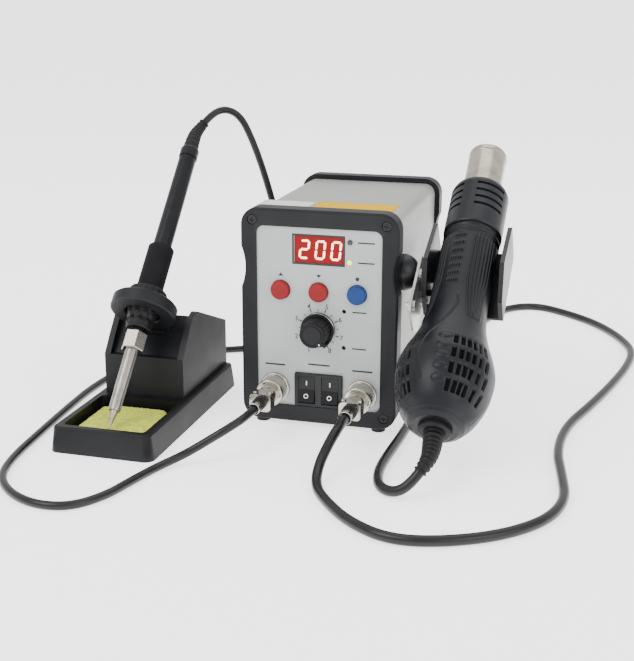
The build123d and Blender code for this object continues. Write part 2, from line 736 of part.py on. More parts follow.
with BuildPart() as holder_boss:
    with BuildSketch(Plane(origin=(0, BOSS_Y, BOSS_Z), x_dir=(1, 0, 0), z_dir=(0, -1, 0))):
        with BuildLine():
            Line((wall_x, 0), (wall_x, BOSS_R))
            Line((wall_x, BOSS_R), (wall_x + 3.0, BOSS_R))
            ThreePointArc((wall_x + 3.0, BOSS_R), (wall_x + 7.8, BOSS_R - 2.2), (plate_x, 6.0))
            Line((plate_x, 6.0), (plate_x, 0))
            Line((plate_x, 0), (wall_x, 0))
        make_face()
    revolve(axis=Axis((STATION_X, BOSS_Y, BOSS_Z), (1, 0, 0)))
    with BuildSketch(Plane.YZ.offset(STATION_X)):
        with Locations((BOSS_Y, BOSS_Z)):
            Circle(SCREW_R + 0.05)
    extrude(amount=CASE_W, mode=Mode.SUBTRACT)
write(holder_boss, "holder_boss")

with BuildPart() as holder_bracket:
    with BuildSketch(gun_side(PLATE_FROM)):
        with BuildLine():
            Polyline(*plate_outline, close=True)
        make_face()
    extrude(amount=PLATE_T)
    fillet(edges().filter_by(Axis.X), 2.5)
    with BuildSketch(gun_side(PLATE_FROM)):
        with Locations(*cradle_screws, boss_at, plate_screw):
            Circle(SCREW_R + 0.05)
    extrude(amount=PLATE_T, mode=Mode.SUBTRACT)
write(holder_bracket, "holder_bracket")

arm_outline = ((98, -21.8), (152, -21.8), (152, 7), (114, 15), (98, -3))
with BuildPart() as gun_cradle:
    with BuildSketch(gun_side(-CRADLE_HALF)):
        with BuildLine():
            Polyline(*arm_outline, close=True)
        make_face()
    extrude(amount=2 * CRADLE_HALF)
    fillet(edges().filter_by(Axis.X), 1.5)
    with BuildSketch(across_gun(CRADLE_FROM - 1)):
        with Locations((0, -CRADLE_FLOOR - 30)):
            Rectangle(2 * (CRADLE_HALF - CRADLE_T), 60)
    extrude(amount=CRADLE_TO - CRADLE_FROM + 2, mode=Mode.SUBTRACT)
    with BuildSketch(gun_side(-CRADLE_HALF)):
        with Locations(*cradle_screws):
            Circle(SCREW_R + 0.05)
    extrude(amount=CRADLE_T + 1, mode=Mode.SUBTRACT)
write(gun_cradle, "gun_cradle")

# Screws of the holder: two hold the cradle to the plate through spacers, one holds the plate
# to the boss and one is spare, in the plate's corner.
with BuildPart() as holder_screws:
    for screw_at in cradle_screws:
        with BuildSketch(gun_side(PLATE_FROM + PLATE_T)):
            with Locations(screw_at):
                Circle(4.0)
        extrude(amount=-PLATE_FROM - PLATE_T - CRADLE_HALF)
        with BuildSketch(gun_side(PLATE_FROM - 1.0)):
            with Locations(screw_at):
                Circle(SCREW_R)
        extrude(amount=1.0 + CRADLE_T - PLATE_FROM - CRADLE_HALF)
        with BuildSketch(gun_side(-CRADLE_HALF + CRADLE_T)):
            with Locations(screw_at):
                Circle(SCREW_HEAD_R)
        extrude(amount=1.4)
    for screw_at, screw_from in ((boss_at, -CRADLE_HALF - 20.0), (plate_screw, PLATE_FROM - 3.0)):
        with BuildSketch(gun_side(screw_from)):
            with Locations(screw_at):
                Circle(SCREW_R)
        extrude(amount=PLATE_FROM + PLATE_T - screw_from)
        with BuildSketch(gun_side(PLATE_FROM + PLATE_T)):
            with Locations(screw_at):
                Circle(SCREW_HEAD_R + 0.2)
        extrude(amount=1.2)
write(holder_screws, "holder_screws")

# ---------------------------------------------------------------- hot-air gun
# (distance from the cap, outer radius): a bulb round the fan, drawn in to the grip.
gun_profile = (
    (4.0, 18.6),
    (8.0, 21.5),
    (14.0, 24.5),
    (21.0, 27.0),
    (30.0, 28.7),
    (38.0, 29.0),
    (48.0, 26.7),
    (58.0, 23.0),
    (70.0, 19.6),
    (84.0, 17.8),
    (100.0, GRIP_R),
)


def shell_section(trim):
    """The outline between the gun's axis and its skin, trim millimetres under the skin."""
    skin = [(radius - trim, along) for along, radius in gun_profile]
    with BuildLine() as outline:
        Line((0, CAP_T), skin[0])
        Spline(*skin, tangents=((0.9, 1.0), (0.0, 1.0)))
        Line(skin[-1], (GRIP_R - trim, GRIP_TOP + 1))
        Line((GRIP_R - trim, GRIP_TOP + 1), (0, GRIP_TOP + 1))
        Line((0, GRIP_TOP + 1), (0, CAP_T))
    make_face(outline.edges())


def add_shell(sweep_angle):
    """Half of the hollow shell: +180 is the rear half, -180 the front one."""
    with BuildSketch(gun_section) as outside:
        shell_section(0.0)
    with BuildSketch(gun_section) as inside:
        shell_section(SHELL_T)
    revolve(outside.sketch, axis=gun_line, revolution_arc=sweep_angle)
    revolve(inside.sketch, axis=gun_line, revolution_arc=sweep_angle, mode=Mode.SUBTRACT)


VENT_COLUMNS = (17.0, 27.0, 36.0, 45.0, 54.0)
VENT_ROWS = (17.0, 27.0, 37.0, 47.0)


def polar_gun(azimuth, along):
    """A plane on the gun's axis whose normal points out at azimuth, from the front to +X."""
    turn = radians(azimuth)
    outward = Vector(1, 0, 0) * sin(turn) + gun_up * cos(turn)
    return Plane(origin=GUN_CAP + gun_axis * along, x_dir=gun_axis, z_dir=outward)


with BuildPart() as gun_shell_front:
    add_shell(-180)
    for azimuth in VENT_COLUMNS:
        for row in VENT_ROWS:
            with BuildSketch(polar_gun(azimuth, row).offset(12)):
                SlotOverall(7.6, 2.2)
            extrude(amount=25, mode=Mode.SUBTRACT)
write(gun_shell_front, "gun_shell_front")

with BuildPart() as gun_shell_back:
    add_shell(180)
    peg(polar_gun(180, FAN_AT).offset(16.0), 5.0, 11.5)
write(gun_shell_back, "gun_shell_back")

with BuildPart() as gun_end_cap:
    turned(gun_section, gun_line, (0, 0), (13.5, 0), (CAP_R, 1.6), (18.4, CAP_T), (0, CAP_T))
    peg(across_gun(0), 5.2, CAP_T, mode=Mode.SUBTRACT)
write(gun_end_cap, "gun_end_cap")


def bent_relief(start, start_dir, end, end_dir, root_r, tip_r):
    """A tapered sleeve that leaves start along start_dir and bends to meet end along end_dir."""
    length = (end - start).length
    knee = start + start_dir * (0.4 * length)
    late = end - end_dir * (0.3 * length)
    stops = ((start, start_dir), (knee, start_dir * 0.9 + end_dir * 0.1))
    stops = stops + ((late, start_dir * 0.25 + end_dir * 0.75), (end, end_dir))
    for index, (place, direction) in enumerate(stops):
        share = (0.0, 0.4, 0.7, 1.0)[index]
        with BuildSketch(Plane(origin=place, x_dir=(1, 0, 0), z_dir=direction)) as ring:
            Circle(root_r + (tip_r - root_r) * share)
        yield ring.sketch


def station_point(point):
    """A corner of a cord's route as a point of the model."""
    return Vector(STATION_X + point[0], STATION_Y + point[1], point[2])


def first_direction(route):
    """The unit direction in which a route leaves its first point."""
    return (station_point(route[1]) - station_point(route[0])).normalized()


with BuildPart() as gun_relief:
    relief_end = station_point(GUN_RELIEF_END)
    rings = bent_relief(
        GUN_CAP - gun_axis * 3.0,
        gun_axis * -1,
        relief_end,
        first_direction(gun_cord_hang_route),
        6.2,
        GUN_CORD_R + 0.85,
    )
    loft(list(rings))
    peg(across_gun(0), 9.8, -3.0)
    fillet(edges().filter_by(GeomType.CIRCLE).sort_by(gun_line)[-2:], 0.8)
    peg(across_gun(0), 5.0, CAP_T + 3.0)
write(gun_relief, "gun_relief")

SLOT_ROWS = (161.0, 167.0, 173.0, 179.0)
SLOT_SPAN = 62.0
with BuildPart() as gun_collar:
    turned(
        gun_section,
        gun_line,
        (16.6, GRIP_TOP + 1),
        (COLLAR_R - 0.5, GRIP_TOP + 1),
        (COLLAR_R, GRIP_TOP + 2),
        (COLLAR_R, COLLAR_TOP - 4),
        (COLLAR_R - 1.0, COLLAR_TOP - 1.4),
        (COLLAR_R - 3.0, COLLAR_TOP),
        (TUBE_R + 0.3, COLLAR_TOP),
        (TUBE_R + 0.3, COLLAR_TOP - 2),
        (16.6, COLLAR_TOP - 5),
    )
    for row in SLOT_ROWS:
        for group in range(4):
            with BuildSketch(across_gun(row - 1)):
                with BuildLine():
                    middle = radians(31.0 + 90.0 * group - 90.0)
                    reach = radians(SLOT_SPAN / 2)
                    edge_r = COLLAR_R + 2
                    left = (edge_r * cos(middle - reach), edge_r * sin(middle - reach))
                    right = (edge_r * cos(middle + reach), edge_r * sin(middle + reach))
                    far_r = edge_r / cos(reach)
                    far = (far_r * cos(middle), far_r * sin(middle))
                    Polyline((0, 0), left, far, right, close=True)
                make_face()
                Circle(15.5, mode=Mode.SUBTRACT)
            extrude(amount=2, mode=Mode.SUBTRACT)
write(gun_collar, "gun_collar")

with BuildPart() as nozzle_tube:
    turned(
        gun_section,
        gun_line,
        (TUBE_R - TUBE_T, GRIP_TOP + 3),
        (16.6, GRIP_TOP + 3),
        (16.6, GRIP_TOP + 5),
        (TUBE_R - 0.2, GRIP_TOP + 5),
        (TUBE_R - 0.2, COLLAR_TOP),
        (TUBE_R, COLLAR_TOP),
        (TUBE_R, TUBE_TOP),
        (TUBE_R - TUBE_T, TUBE_TOP),
    )
write(nozzle_tube, "nozzle_tube")

HEATER_FROM = 152.0
HEATER_TO = 204.0
with BuildPart() as heater_core:
    peg(across_gun(HEATER_FROM), TUBE_R - TUBE_T, 3.0)
    for step in range(7):
        peg(across_gun(HEATER_FROM + 7 + 6.5 * step), 8.6, 1.2)
        peg(across_gun(HEATER_FROM + 7 + 6.5 * step), 7.4, 1.2, mode=Mode.SUBTRACT)
    for turn in (0, 90):
        with BuildSketch(across_gun(HEATER_FROM + 3)):
            Rectangle(20.0, 1.2, rotation=turn)
        extrude(amount=HEATER_TO - HEATER_FROM - 3)
write(heater_core, "heater_core")

fan_plane = polar_gun(0, FAN_AT)
with BuildPart() as fan_motor:
    peg(fan_plane.offset(-16), 12.0, 8.0)
    fillet(edges().group_by(Axis(GUN_CAP, gun_up))[-1], 1.0)
    peg(fan_plane.offset(-8), 1.5, 12.0)
write(fan_motor, "fan_motor")

with BuildPart() as fan_rotor:
    peg(fan_plane.offset(-5), 7.0, 10.0)
    peg(fan_plane.offset(-5), FAN_R - 2.0, 1.0)
    for blade in range(9):
        with BuildSketch(fan_plane.offset(-4)):
            with PolarLocations(11.8, 1, start_angle=40 * blade):
                Rectangle(12.4, 1.2, rotation=25)
        extrude(amount=9)
    peg(fan_plane.offset(-5), 1.55, 12.0, mode=Mode.SUBTRACT)
write(fan_rotor, "fan_rotor")

# ---------------------------------------------------------------- soldering iron
TIP_CONE = 11.6
BARREL_TO = 56.3
NUT_FROM = 53.3
NUT_TO = 64.7
NECK_TO = 67.7
FLANGE_FROM = 87.7
FLANGE_TO = 95.7
FOAM_TO = 128.6
HANDLE_TO = 200.5
END_RING_TO = 208.0
HANDLE_R = 6.1
NECK_R = 4.6
HEATER_R = 1.9

with BuildPart() as iron_tip:
    turned(
        iron_section,
        iron_line,
        (0, 0),
        (0.45, 0.2),
        (2.3, TIP_CONE - 1.6),
        (2.5, TIP_CONE),
        (3.15, TIP_CONE),
        (3.15, 40.0),
        (HEATER_R + 0.1, 40.0),
        (HEATER_R + 0.1, 16.0),
        (0, 15.0),
    )
write(iron_tip, "iron_tip")

with BuildPart() as iron_barrel:
    turned(
        iron_section,
        iron_line,
        (3.2, TIP_CONE),
        (3.5, TIP_CONE),
        (3.65, TIP_CONE + 0.6),
        (3.9, NUT_FROM),
        (3.9, BARREL_TO),
        (4.9, BARREL_TO),
        (4.9, BARREL_TO + 1.4),
        (3.2, BARREL_TO + 1.4),
    )
write(iron_barrel, "iron_barrel")

with BuildPart() as barrel_nut:
    with BuildSketch(across_iron(NUT_FROM)):
        RegularPolygon(6.4, 6, major_radius=False)
    extrude(amount=NUT_TO - NUT_FROM)
    chamfer(edges().group_by(iron_line)[0], 0.6)
    peg(across_iron(NUT_FROM), 3.98, NUT_TO - NUT_FROM, mode=Mode.SUBTRACT)
    peg(across_iron(BARREL_TO - 0.3), 5.0, NUT_TO, mode=Mode.SUBTRACT)
write(barrel_nut, "barrel_nut")

with BuildPart() as iron_heater:
    peg(across_iron(17.0), HEATER_R, 60.0)
write(iron_heater, "iron_heater")

with BuildPart() as iron_neck:
    neck_from = BARREL_TO + 1.4
    turned(
        iron_section,
        iron_line,
        (HEATER_R + 0.05, neck_from),
        (4.95, neck_from),
        (4.95, NUT_TO),
        (NECK_R, NUT_TO),
        (NECK_R, 90.0),
        (HEATER_R + 0.05, 90.0),
    )
write(iron_neck, "iron_neck")

with BuildPart() as iron_handle:
    turned(
        iron_section,
        iron_line,
        (NECK_R, NECK_TO),
        (HANDLE_R, NECK_TO),
        (HANDLE_R, FOAM_TO),
        (HANDLE_R - 0.3, HANDLE_TO),
        (HANDLE_R + 0.2, HANDLE_TO),
        (HANDLE_R + 0.2, END_RING_TO - 1.0),
        (HANDLE_R - 0.4, END_RING_TO),
        (3.6, END_RING_TO),
        (3.6, 92.0),
        (NECK_R, 92.0),
    )
write(iron_handle, "iron_handle")

with BuildPart() as iron_grip:
    turned(
        iron_section,
        iron_line,
        (HANDLE_R, NECK_TO),
        (7.4, NECK_TO),
        (8.0, NECK_TO + 0.8),
        (8.2, 75.0),
        (9.6, 79.0),
        (10.2, 84.0),
        (10.2, FLANGE_FROM),
        (12.1, FLANGE_FROM),
        (12.4, FLANGE_FROM + 0.4),
        (12.4, FLANGE_TO - 1.5),
        (11.2, FLANGE_TO),
        (HANDLE_R, FLANGE_TO),
    )
write(iron_grip, "iron_grip")

with BuildPart() as iron_foam_sleeve:
    turned(
        iron_section,
        iron_line,
        (HANDLE_R, FLANGE_TO),
        (8.5, FLANGE_TO),
        (8.5, FOAM_TO - 0.8),
        (7.8, FOAM_TO),
        (HANDLE_R, FOAM_TO),
    )
write(iron_foam_sleeve, "iron_foam_sleeve")

with BuildPart() as iron_relief:
    rings = bent_relief(
        IRON_TIP + iron_axis * END_RING_TO,
        iron_axis,
        station_point(IRON_RELIEF_END),
        first_direction(iron_cord_hang_route),
        5.1,
        IRON_CORD_R + 1.6,
    )
    loft(list(rings))
write(iron_relief, "iron_relief")

# ---------------------------------------------------------------- stand
with BuildPart() as stand_base:
    with BuildSketch(stand_level(0)):
        with Locations((0, BASE_L / 2)):
            RectangleRounded(BASE_W, BASE_L, BASE_R)
    extrude(amount=BASE_H, taper=BASE_TAPER)
    fillet(edges().group_by(Axis.Z)[-1], 1.6)
    with BuildSketch(stand_level(TRAY_FLOOR)):
        with Locations((0, TRAY_FRONT + TRAY_L / 2)):
            RectangleRounded(TRAY_W, TRAY_L, 3.0)
    extrude(amount=BASE_H, mode=Mode.SUBTRACT)
    with BuildSketch(stand_level(0)):
        with Locations((0, TRAY_FRONT + TRAY_L / 2)):
            RectangleRounded(TRAY_W + 4, TRAY_L + 4, 3.0)
    extrude(amount=BASE_WALL, mode=Mode.SUBTRACT)
    with BuildSketch(stand_level(0)):
        with Locations((0, (TRAY_FRONT + TRAY_L + 2 * BASE_WALL + BASE_L - 5) / 2)):
            RectangleRounded(BASE_W - 10, BASE_L - 5 - TRAY_FRONT - TRAY_L - 2 * BASE_WALL, 3.0)
    extrude(amount=BASE_H - BASE_WALL, mode=Mode.SUBTRACT)
write(stand_base, "stand_base")

cheek_outline = ((69, 16), (69, 42), (78, 53.5), (87, 64), (96, 67), (149, 47), (149, 16))
WEB_UNDER = 22.0         # the sloped web's face, under the iron's axis
with BuildPart() as stand_block:
    for cheek_x in (-BLOCK_W / 2, BLOCK_W / 2 - CHEEK_T):
        with BuildSketch(stand_side(cheek_x)):
            with BuildLine():
                Polyline(*cheek_outline, close=True)
            make_face()
        extrude(amount=CHEEK_T)
    fillet(edges().filter_by(Axis.X).group_by(Axis.Z)[-1], 5.0)
    with BuildSketch(stand_side(-BLOCK_W / 2)):
        with Locations((71, 29.0)):
            Rectangle(4.0, 26.0)
    extrude(amount=BLOCK_W)
    web = Plane(
        origin=IRON_TIP - Vector(BLOCK_W / 2, 0, 0), x_dir=iron_axis, z_dir=(1, 0, 0)
    )
    with BuildSketch(web):
        with Locations((76, -WEB_UNDER - 2.0)):
            Rectangle(32, 4.0)
    extrude(amount=BLOCK_W)
write(stand_block, "stand_block")

with BuildPart() as stand_ring:
    turned(
        iron_section,
        iron_line,
        (RING_BORE_R, RING_FROM + 1),
        (RING_BORE_R + 1.0, RING_FROM),
        (RING_R - 0.8, RING_FROM),
        (RING_R, RING_FROM + 0.8),
        (RING_R, RING_TO - 0.8),
        (RING_R - 0.8, RING_TO),
        (RING_BORE_R + 1.2, RING_TO),
        (RING_BORE_R, RING_TO - 1.4),
    )
    foot_mid = IRON_TIP + iron_axis * (RING_FROM + RING_TO) / 2
    on_web = Plane(origin=foot_mid, x_dir=(1, 0, 0), z_dir=iron_up).offset(-WEB_UNDER)
    with BuildSketch(on_web):
        Rectangle(22.0, 11.0)
    extrude(amount=4.0)
write(stand_ring, "stand_ring")

with BuildPart() as sponge:
    with BuildSketch(stand_level(TRAY_FLOOR)):
        with Locations((0, TRAY_FRONT + 1.5 + SPONGE_L / 2)):
            RectangleRounded(SPONGE_W, SPONGE_L, 3.0)
    extrude(amount=SPONGE_T)
write(sponge, "sponge")


# ---------------------------------------------------------------- cords
def bend_radii(points):
    """The largest tangent arc that each corner's two runs allow."""
    radii = []
    for before, corner, after in zip(points, points[1:], points[2:]):
        run_in = corner - before
        run_out = after - corner
        half_turn = radians(run_in.get_angle(run_out)) / 2
        radii.append(0.45 * min(run_in.length, run_out.length) / tan(half_turn))
    return radii


def add_cord(route, radius):
    """A round cord along a route whose corners are rounded."""
    points = [station_point(corner) for corner in route]
    radii = bend_radii(points)
    with BuildLine() as path:
        FilletPolyline(*points, radius=radii)
    with BuildSketch(Plane(origin=points[0], z_dir=points[1] - points[0])) as section:
        Circle(radius)
    sweep(section.sketch, path=path.wires()[0])
    return path.wires()[0].length, radii


for cord_name, route, cord_r in (
    ("gun_cord_hang", gun_cord_hang_route, GUN_CORD_R),
    ("gun_cord_floor", gun_cord_floor_route, GUN_CORD_R),
    ("iron_cord_hang", iron_cord_hang_route, IRON_CORD_R),
    ("iron_cord_floor", iron_cord_floor_route, IRON_CORD_R),
):
    with BuildPart() as cord:
        length, bends = add_cord(route, cord_r)
    ideal = 3.141593 * cord_r * cord_r * length
    print(cord_name, "length", round(length), "bends", [round(bend) for bend in bends], end=" ")
    print("volume", round(cord.part.volume), "of", round(ideal))
    write(cord, cord_name)
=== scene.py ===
import math

import bmesh
import bpy
import numpy as np
from mathutils import Matrix, Vector


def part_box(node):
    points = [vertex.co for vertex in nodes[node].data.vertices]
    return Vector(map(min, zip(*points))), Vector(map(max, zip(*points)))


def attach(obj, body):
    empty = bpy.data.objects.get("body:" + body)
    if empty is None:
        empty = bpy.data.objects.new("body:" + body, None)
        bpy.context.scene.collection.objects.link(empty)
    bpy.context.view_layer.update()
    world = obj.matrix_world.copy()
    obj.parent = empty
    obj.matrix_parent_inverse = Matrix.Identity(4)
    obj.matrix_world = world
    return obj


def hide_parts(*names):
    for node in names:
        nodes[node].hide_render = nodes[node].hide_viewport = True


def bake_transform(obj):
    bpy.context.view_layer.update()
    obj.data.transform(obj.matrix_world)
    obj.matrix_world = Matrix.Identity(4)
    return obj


# Looks of a two-in-one soldering station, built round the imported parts. Metres, the front panel
# faces -Y, and the station's own places are given in millimetres from the middle of its bezel.

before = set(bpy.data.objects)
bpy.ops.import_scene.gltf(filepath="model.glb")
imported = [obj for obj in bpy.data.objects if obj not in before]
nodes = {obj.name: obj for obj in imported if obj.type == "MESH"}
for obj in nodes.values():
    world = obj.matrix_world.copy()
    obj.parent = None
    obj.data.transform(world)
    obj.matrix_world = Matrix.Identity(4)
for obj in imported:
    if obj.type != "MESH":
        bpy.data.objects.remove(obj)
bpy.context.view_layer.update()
MM = 0.001

bezel_low, bezel_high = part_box("front_bezel")
STATION_X = (bezel_low.x + bezel_high.x) / 2
STATION_Y = bezel_low.y


def station(x, y, z):
    """A point in metres from millimetres off the power unit's front."""
    return Vector((STATION_X + x * MM, STATION_Y + y * MM, z * MM))


def add_object(name, data):
    """A new object in the scene, made from a mesh, curve, light or camera."""
    made = bpy.data.objects.new(name, data)
    bpy.context.scene.collection.objects.link(made)
    return made


GUN_RISE = math.radians(35.5)
IRON_RISE = math.radians(45.9)
X_AXIS = Vector((1, 0, 0))
gun_axis = Vector((0, math.cos(GUN_RISE), math.sin(GUN_RISE)))
gun_up = Vector((0, -math.sin(GUN_RISE), math.cos(GUN_RISE)))
iron_axis = Vector((0, math.cos(IRON_RISE), math.sin(IRON_RISE)))
iron_up = Vector((0, -math.sin(IRON_RISE), math.cos(IRON_RISE)))
gun_cap = station(85.0, -59.3, 30.2)
iron_tip = station(-111.7, -69.0, 13.0)
OUT = Vector((0, -1, 0))
UP = Vector((0, 0, 1))

# ---------------------------------------------------------------- camera
camera_data = bpy.data.cameras.new("camera")
camera = add_object("camera", camera_data)
camera.location = station(188.18, -677.50, 271.20)
YAW = math.radians(16.07)
PITCH = math.radians(16.29)
level = Vector((-math.sin(YAW), math.cos(YAW), 0))
forward = level * math.cos(PITCH) - UP * math.sin(PITCH)
camera.rotation_euler = forward.to_track_quat("-Z", "Y").to_euler()
camera_data.sensor_width = 36.0
camera_data.lens = 64.31
camera_data.shift_x = 0.0148
camera_data.shift_y = -0.0033
camera_data.clip_start = 0.01
camera_data.clip_end = 50.0
bpy.context.scene.camera = camera


# ---------------------------------------------------------------- materials
def new_material(name):
    """An empty node material with its shader, as (material, nodes, links, shader)."""
    made = bpy.data.materials.new(name)
    made.use_nodes = True
    tree = made.node_tree
    shader = tree.nodes["Principled BSDF"]
    return made, tree.nodes, tree.links, shader


def noise(tree_nodes, links, scale, detail=3.0, stretch=None, rough=0.5):
    """A noise texture in object space, optionally stretched along an axis."""
    coords = tree_nodes.new("ShaderNodeTexCoord")
    texture = tree_nodes.new("ShaderNodeTexNoise")
    texture.inputs["Scale"].default_value = scale
    texture.inputs["Detail"].default_value = detail
    texture.inputs["Roughness"].default_value = rough
    if stretch is None:
        links.new(coords.outputs["Object"], texture.inputs["Vector"])
        return texture
    mapping = tree_nodes.new("ShaderNodeMapping")
    mapping.inputs["Scale"].default_value = stretch
    links.new(coords.outputs["Object"], mapping.inputs["Vector"])
    links.new(mapping.outputs["Vector"], texture.inputs["Vector"])
    return texture


def ramp(tree_nodes, links, source, low, high, start=0.3, end=0.7):
    """A two-colour ramp driven by a texture's factor."""
    made = tree_nodes.new("ShaderNodeValToRGB")
    made.color_ramp.elements[0].position = start
    made.color_ramp.elements[0].color = (*low, 1)
    made.color_ramp.elements[1].position = end
    made.color_ramp.elements[1].color = (*high, 1)
    links.new(source, made.inputs["Fac"])
    return made.outputs["Color"]


def spread(tree_nodes, links, source, low, high):
    """A factor mapped to a range of roughness."""
    made = tree_nodes.new("ShaderNodeMapRange")
    made.inputs["To Min"].default_value = low
    made.inputs["To Max"].default_value = high
    links.new(source, made.inputs["Value"])
    return made.outputs["Result"]


def bump(tree_nodes, links, source, strength, distance, under=None):
    """A bump normal of a height, laid over another normal when given."""
    made = tree_nodes.new("ShaderNodeBump")
    made.inputs["Strength"].default_value = strength
    made.inputs["Distance"].default_value = distance
    links.new(source, made.inputs["Height"])
    if under is not None:
        links.new(under, made.inputs["Normal"])
    return made.outputs["Normal"]


GRAIN_HEIGHT = 0.00006


def moulded(name, color, rough=0.42, grain=2600.0, wear=0.35, coat=0.0, specular=0.5):
    """A moulded plastic: fine spark grain, cloudy gloss, paler rubbed edges."""
    made, n, k, shader = new_material(name)
    cloud = noise(n, k, 60.0, 4.0)
    fine = noise(n, k, grain, 2.0)
    dark = tuple(c * 0.82 for c in color)
    light = tuple(min(1.0, c * 1.22 + 0.002) for c in color)
    base = ramp(n, k, cloud.outputs["Fac"], dark, light)
    geometry = n.new("ShaderNodeNewGeometry")
    edge = n.new("ShaderNodeMapRange")
    edge.inputs["From Min"].default_value = 0.52
    edge.inputs["From Max"].default_value = 0.62
    edge.inputs["To Max"].default_value = wear
    k.new(geometry.outputs["Pointiness"], edge.inputs["Value"])
    mix = n.new("ShaderNodeMix")
    mix.data_type = "RGBA"
    k.new(edge.outputs["Result"], mix.inputs[0])
    k.new(base, mix.inputs[6])
    mix.inputs[7].default_value = (*(min(1.0, c * 2.2 + 0.03) for c in color), 1)
    k.new(mix.outputs[2], shader.inputs["Base Color"])
    gloss = spread(n, k, cloud.outputs["Fac"], rough - 0.07, rough + 0.09)
    k.new(gloss, shader.inputs["Roughness"])
    k.new(bump(n, k, fine.outputs["Fac"], 0.5, GRAIN_HEIGHT), shader.inputs["Normal"])
    shader.inputs["Coat Weight"].default_value = coat
    shader.inputs["Coat Roughness"].default_value = 0.15
    shader.inputs["Specular IOR Level"].default_value = specular
    return made


def painted(name, color, rough=0.45, peel=900.0, specular=0.5):
    """Powder coat: orange peel and faint handling marks."""
    made, n, k, shader = new_material(name)
    cloud = noise(n, k, 35.0, 5.0)
    skin = noise(n, k, peel, 2.0)
    dark = tuple(c * 0.93 for c in color)
    light = tuple(min(1.0, c * 1.05) for c in color)
    base = ramp(n, k, cloud.outputs["Fac"], dark, light)
    k.new(base, shader.inputs["Base Color"])
    gloss = spread(n, k, cloud.outputs["Fac"], rough - 0.06, rough + 0.08)
    k.new(gloss, shader.inputs["Roughness"])
    k.new(bump(n, k, skin.outputs["Fac"], 0.35, GRAIN_HEIGHT), shader.inputs["Normal"])
    shader.inputs["Specular IOR Level"].default_value = specular
    return made


def metal(name, color, rough=0.25, stretch=(200.0, 3000.0, 200.0), scratch=0.25, tint=None):
    """Turned or plated metal: fine lay, cloudy gloss, optional warm tint."""
    made, n, k, shader = new_material(name)
    lay = noise(n, k, 1.0, 3.0, stretch)
    cloud = noise(n, k, 120.0, 3.0)
    other = tint if tint is not None else tuple(c * 0.8 for c in color)
    k.new(ramp(n, k, cloud.outputs["Fac"], other, color), shader.inputs["Base Color"])
    k.new(spread(n, k, lay.outputs["Fac"], rough - 0.08, rough + 0.12), shader.inputs["Roughness"])
    k.new(bump(n, k, lay.outputs["Fac"], scratch, 0.00004), shader.inputs["Normal"])
    shader.inputs["Metallic"].default_value = 1.0
    return made


def rubbery(name, color, rough=0.55, grain=1500.0, specular=0.25):
    """Rubber or silicone: soft highlight, dusty clouding."""
    made, n, k, shader = new_material(name)
    cloud = noise(n, k, 90.0, 4.0)
    fine = noise(n, k, grain, 2.0)
    dark = tuple(c * 0.8 for c in color)
    light = tuple(c * 1.35 + 0.002 for c in color)
    k.new(ramp(n, k, cloud.outputs["Fac"], dark, light), shader.inputs["Base Color"])
    k.new(spread(n, k, cloud.outputs["Fac"], rough - 0.08, rough + 0.1), shader.inputs["Roughness"])
    k.new(bump(n, k, fine.outputs["Fac"], 0.4, 0.00005), shader.inputs["Normal"])
    shader.inputs["Specular IOR Level"].default_value = specular
    return made


def glowing(name, color, strength):
    """A lit surface under a clear skin."""
    made, n, k, shader = new_material(name)
    cloud = noise(n, k, 400.0, 2.0)
    dark = tuple(c * 0.9 for c in color)
    k.new(ramp(n, k, cloud.outputs["Fac"], dark, color), shader.inputs["Base Color"])
    shader.inputs["Emission Color"].default_value = (*color, 1)
    shader.inputs["Emission Strength"].default_value = strength
    shader.inputs["Roughness"].default_value = 0.25
    shader.inputs["Specular IOR Level"].default_value = 0.15
    return made


def sponge_material():
    """Damp cellulose: open pores of every size in a yellow-green body."""
    made, n, k, shader = new_material("sponge_cellulose")
    coords = n.new("ShaderNodeTexCoord")
    cells = n.new("ShaderNodeTexVoronoi")
    cells.inputs["Scale"].default_value = 900.0
    k.new(coords.outputs["Object"], cells.inputs["Vector"])
    big = noise(n, k, 260.0, 5.0, rough=0.7)
    base = ramp(n, k, big.outputs["Fac"], (0.38, 0.44, 0.004), (0.62, 0.69, 0.012), 0.35, 0.6)
    pores = n.new("ShaderNodeMapRange")
    pores.inputs["From Min"].default_value = 0.05
    pores.inputs["From Max"].default_value = 0.3
    k.new(cells.outputs["Distance"], pores.inputs["Value"])
    k.new(base, shader.inputs["Base Color"])
    first = bump(n, k, pores.outputs["Result"], 0.6, 0.0003)
    k.new(bump(n, k, big.outputs["Fac"], 0.8, 0.0008, first), shader.inputs["Normal"])
    shader.inputs["Roughness"].default_value = 0.9
    shader.inputs["Sheen Weight"].default_value = 0.3
    return made


bezel_black = (0.005, 0.0053, 0.0068)
bezel_plastic = moulded("bezel_plastic", bezel_black, rough=0.46, wear=0.2, specular=0.2)
gun_black = (0.004, 0.0045, 0.0066)
gun_plastic = moulded("gun_plastic", gun_black, rough=0.34, grain=3200.0, wear=0.2, specular=0.24)
# Painted shade: a near-black matte plastic for the deepest faces of the gun's vents, standing in
# for the shade inside them.
gun_vent_painted_shade = moulded("gun_vent_painted_shade", (0.001, 0.001, 0.0013), rough=0.8, wear=0.0, specular=0.1)
case_black = (0.005, 0.0053, 0.0066)
satin = {"rough": 0.3, "coat": 0.05}
cradle_plastic = moulded("cradle_plastic", case_black, wear=0.2, specular=0.25, **satin)
stand_look = {"rough": 0.46, "grain": 1800.0, "wear": 0.2, "specular": 0.2}
stand_plastic = moulded("stand_plastic", case_black, **stand_look)
handle_black = (0.003, 0.0033, 0.0048)
handle_plastic = moulded("handle_plastic", handle_black, rough=0.32, wear=0.15, specular=0.24)
soft_black = (0.0045, 0.0045, 0.0055)
knob_plastic = moulded("knob_plastic", soft_black, rough=0.4, wear=0.2, specular=0.18)
rocker_plastic = moulded("rocker_plastic", (0.005, 0.0052, 0.006), specular=0.22, **satin)
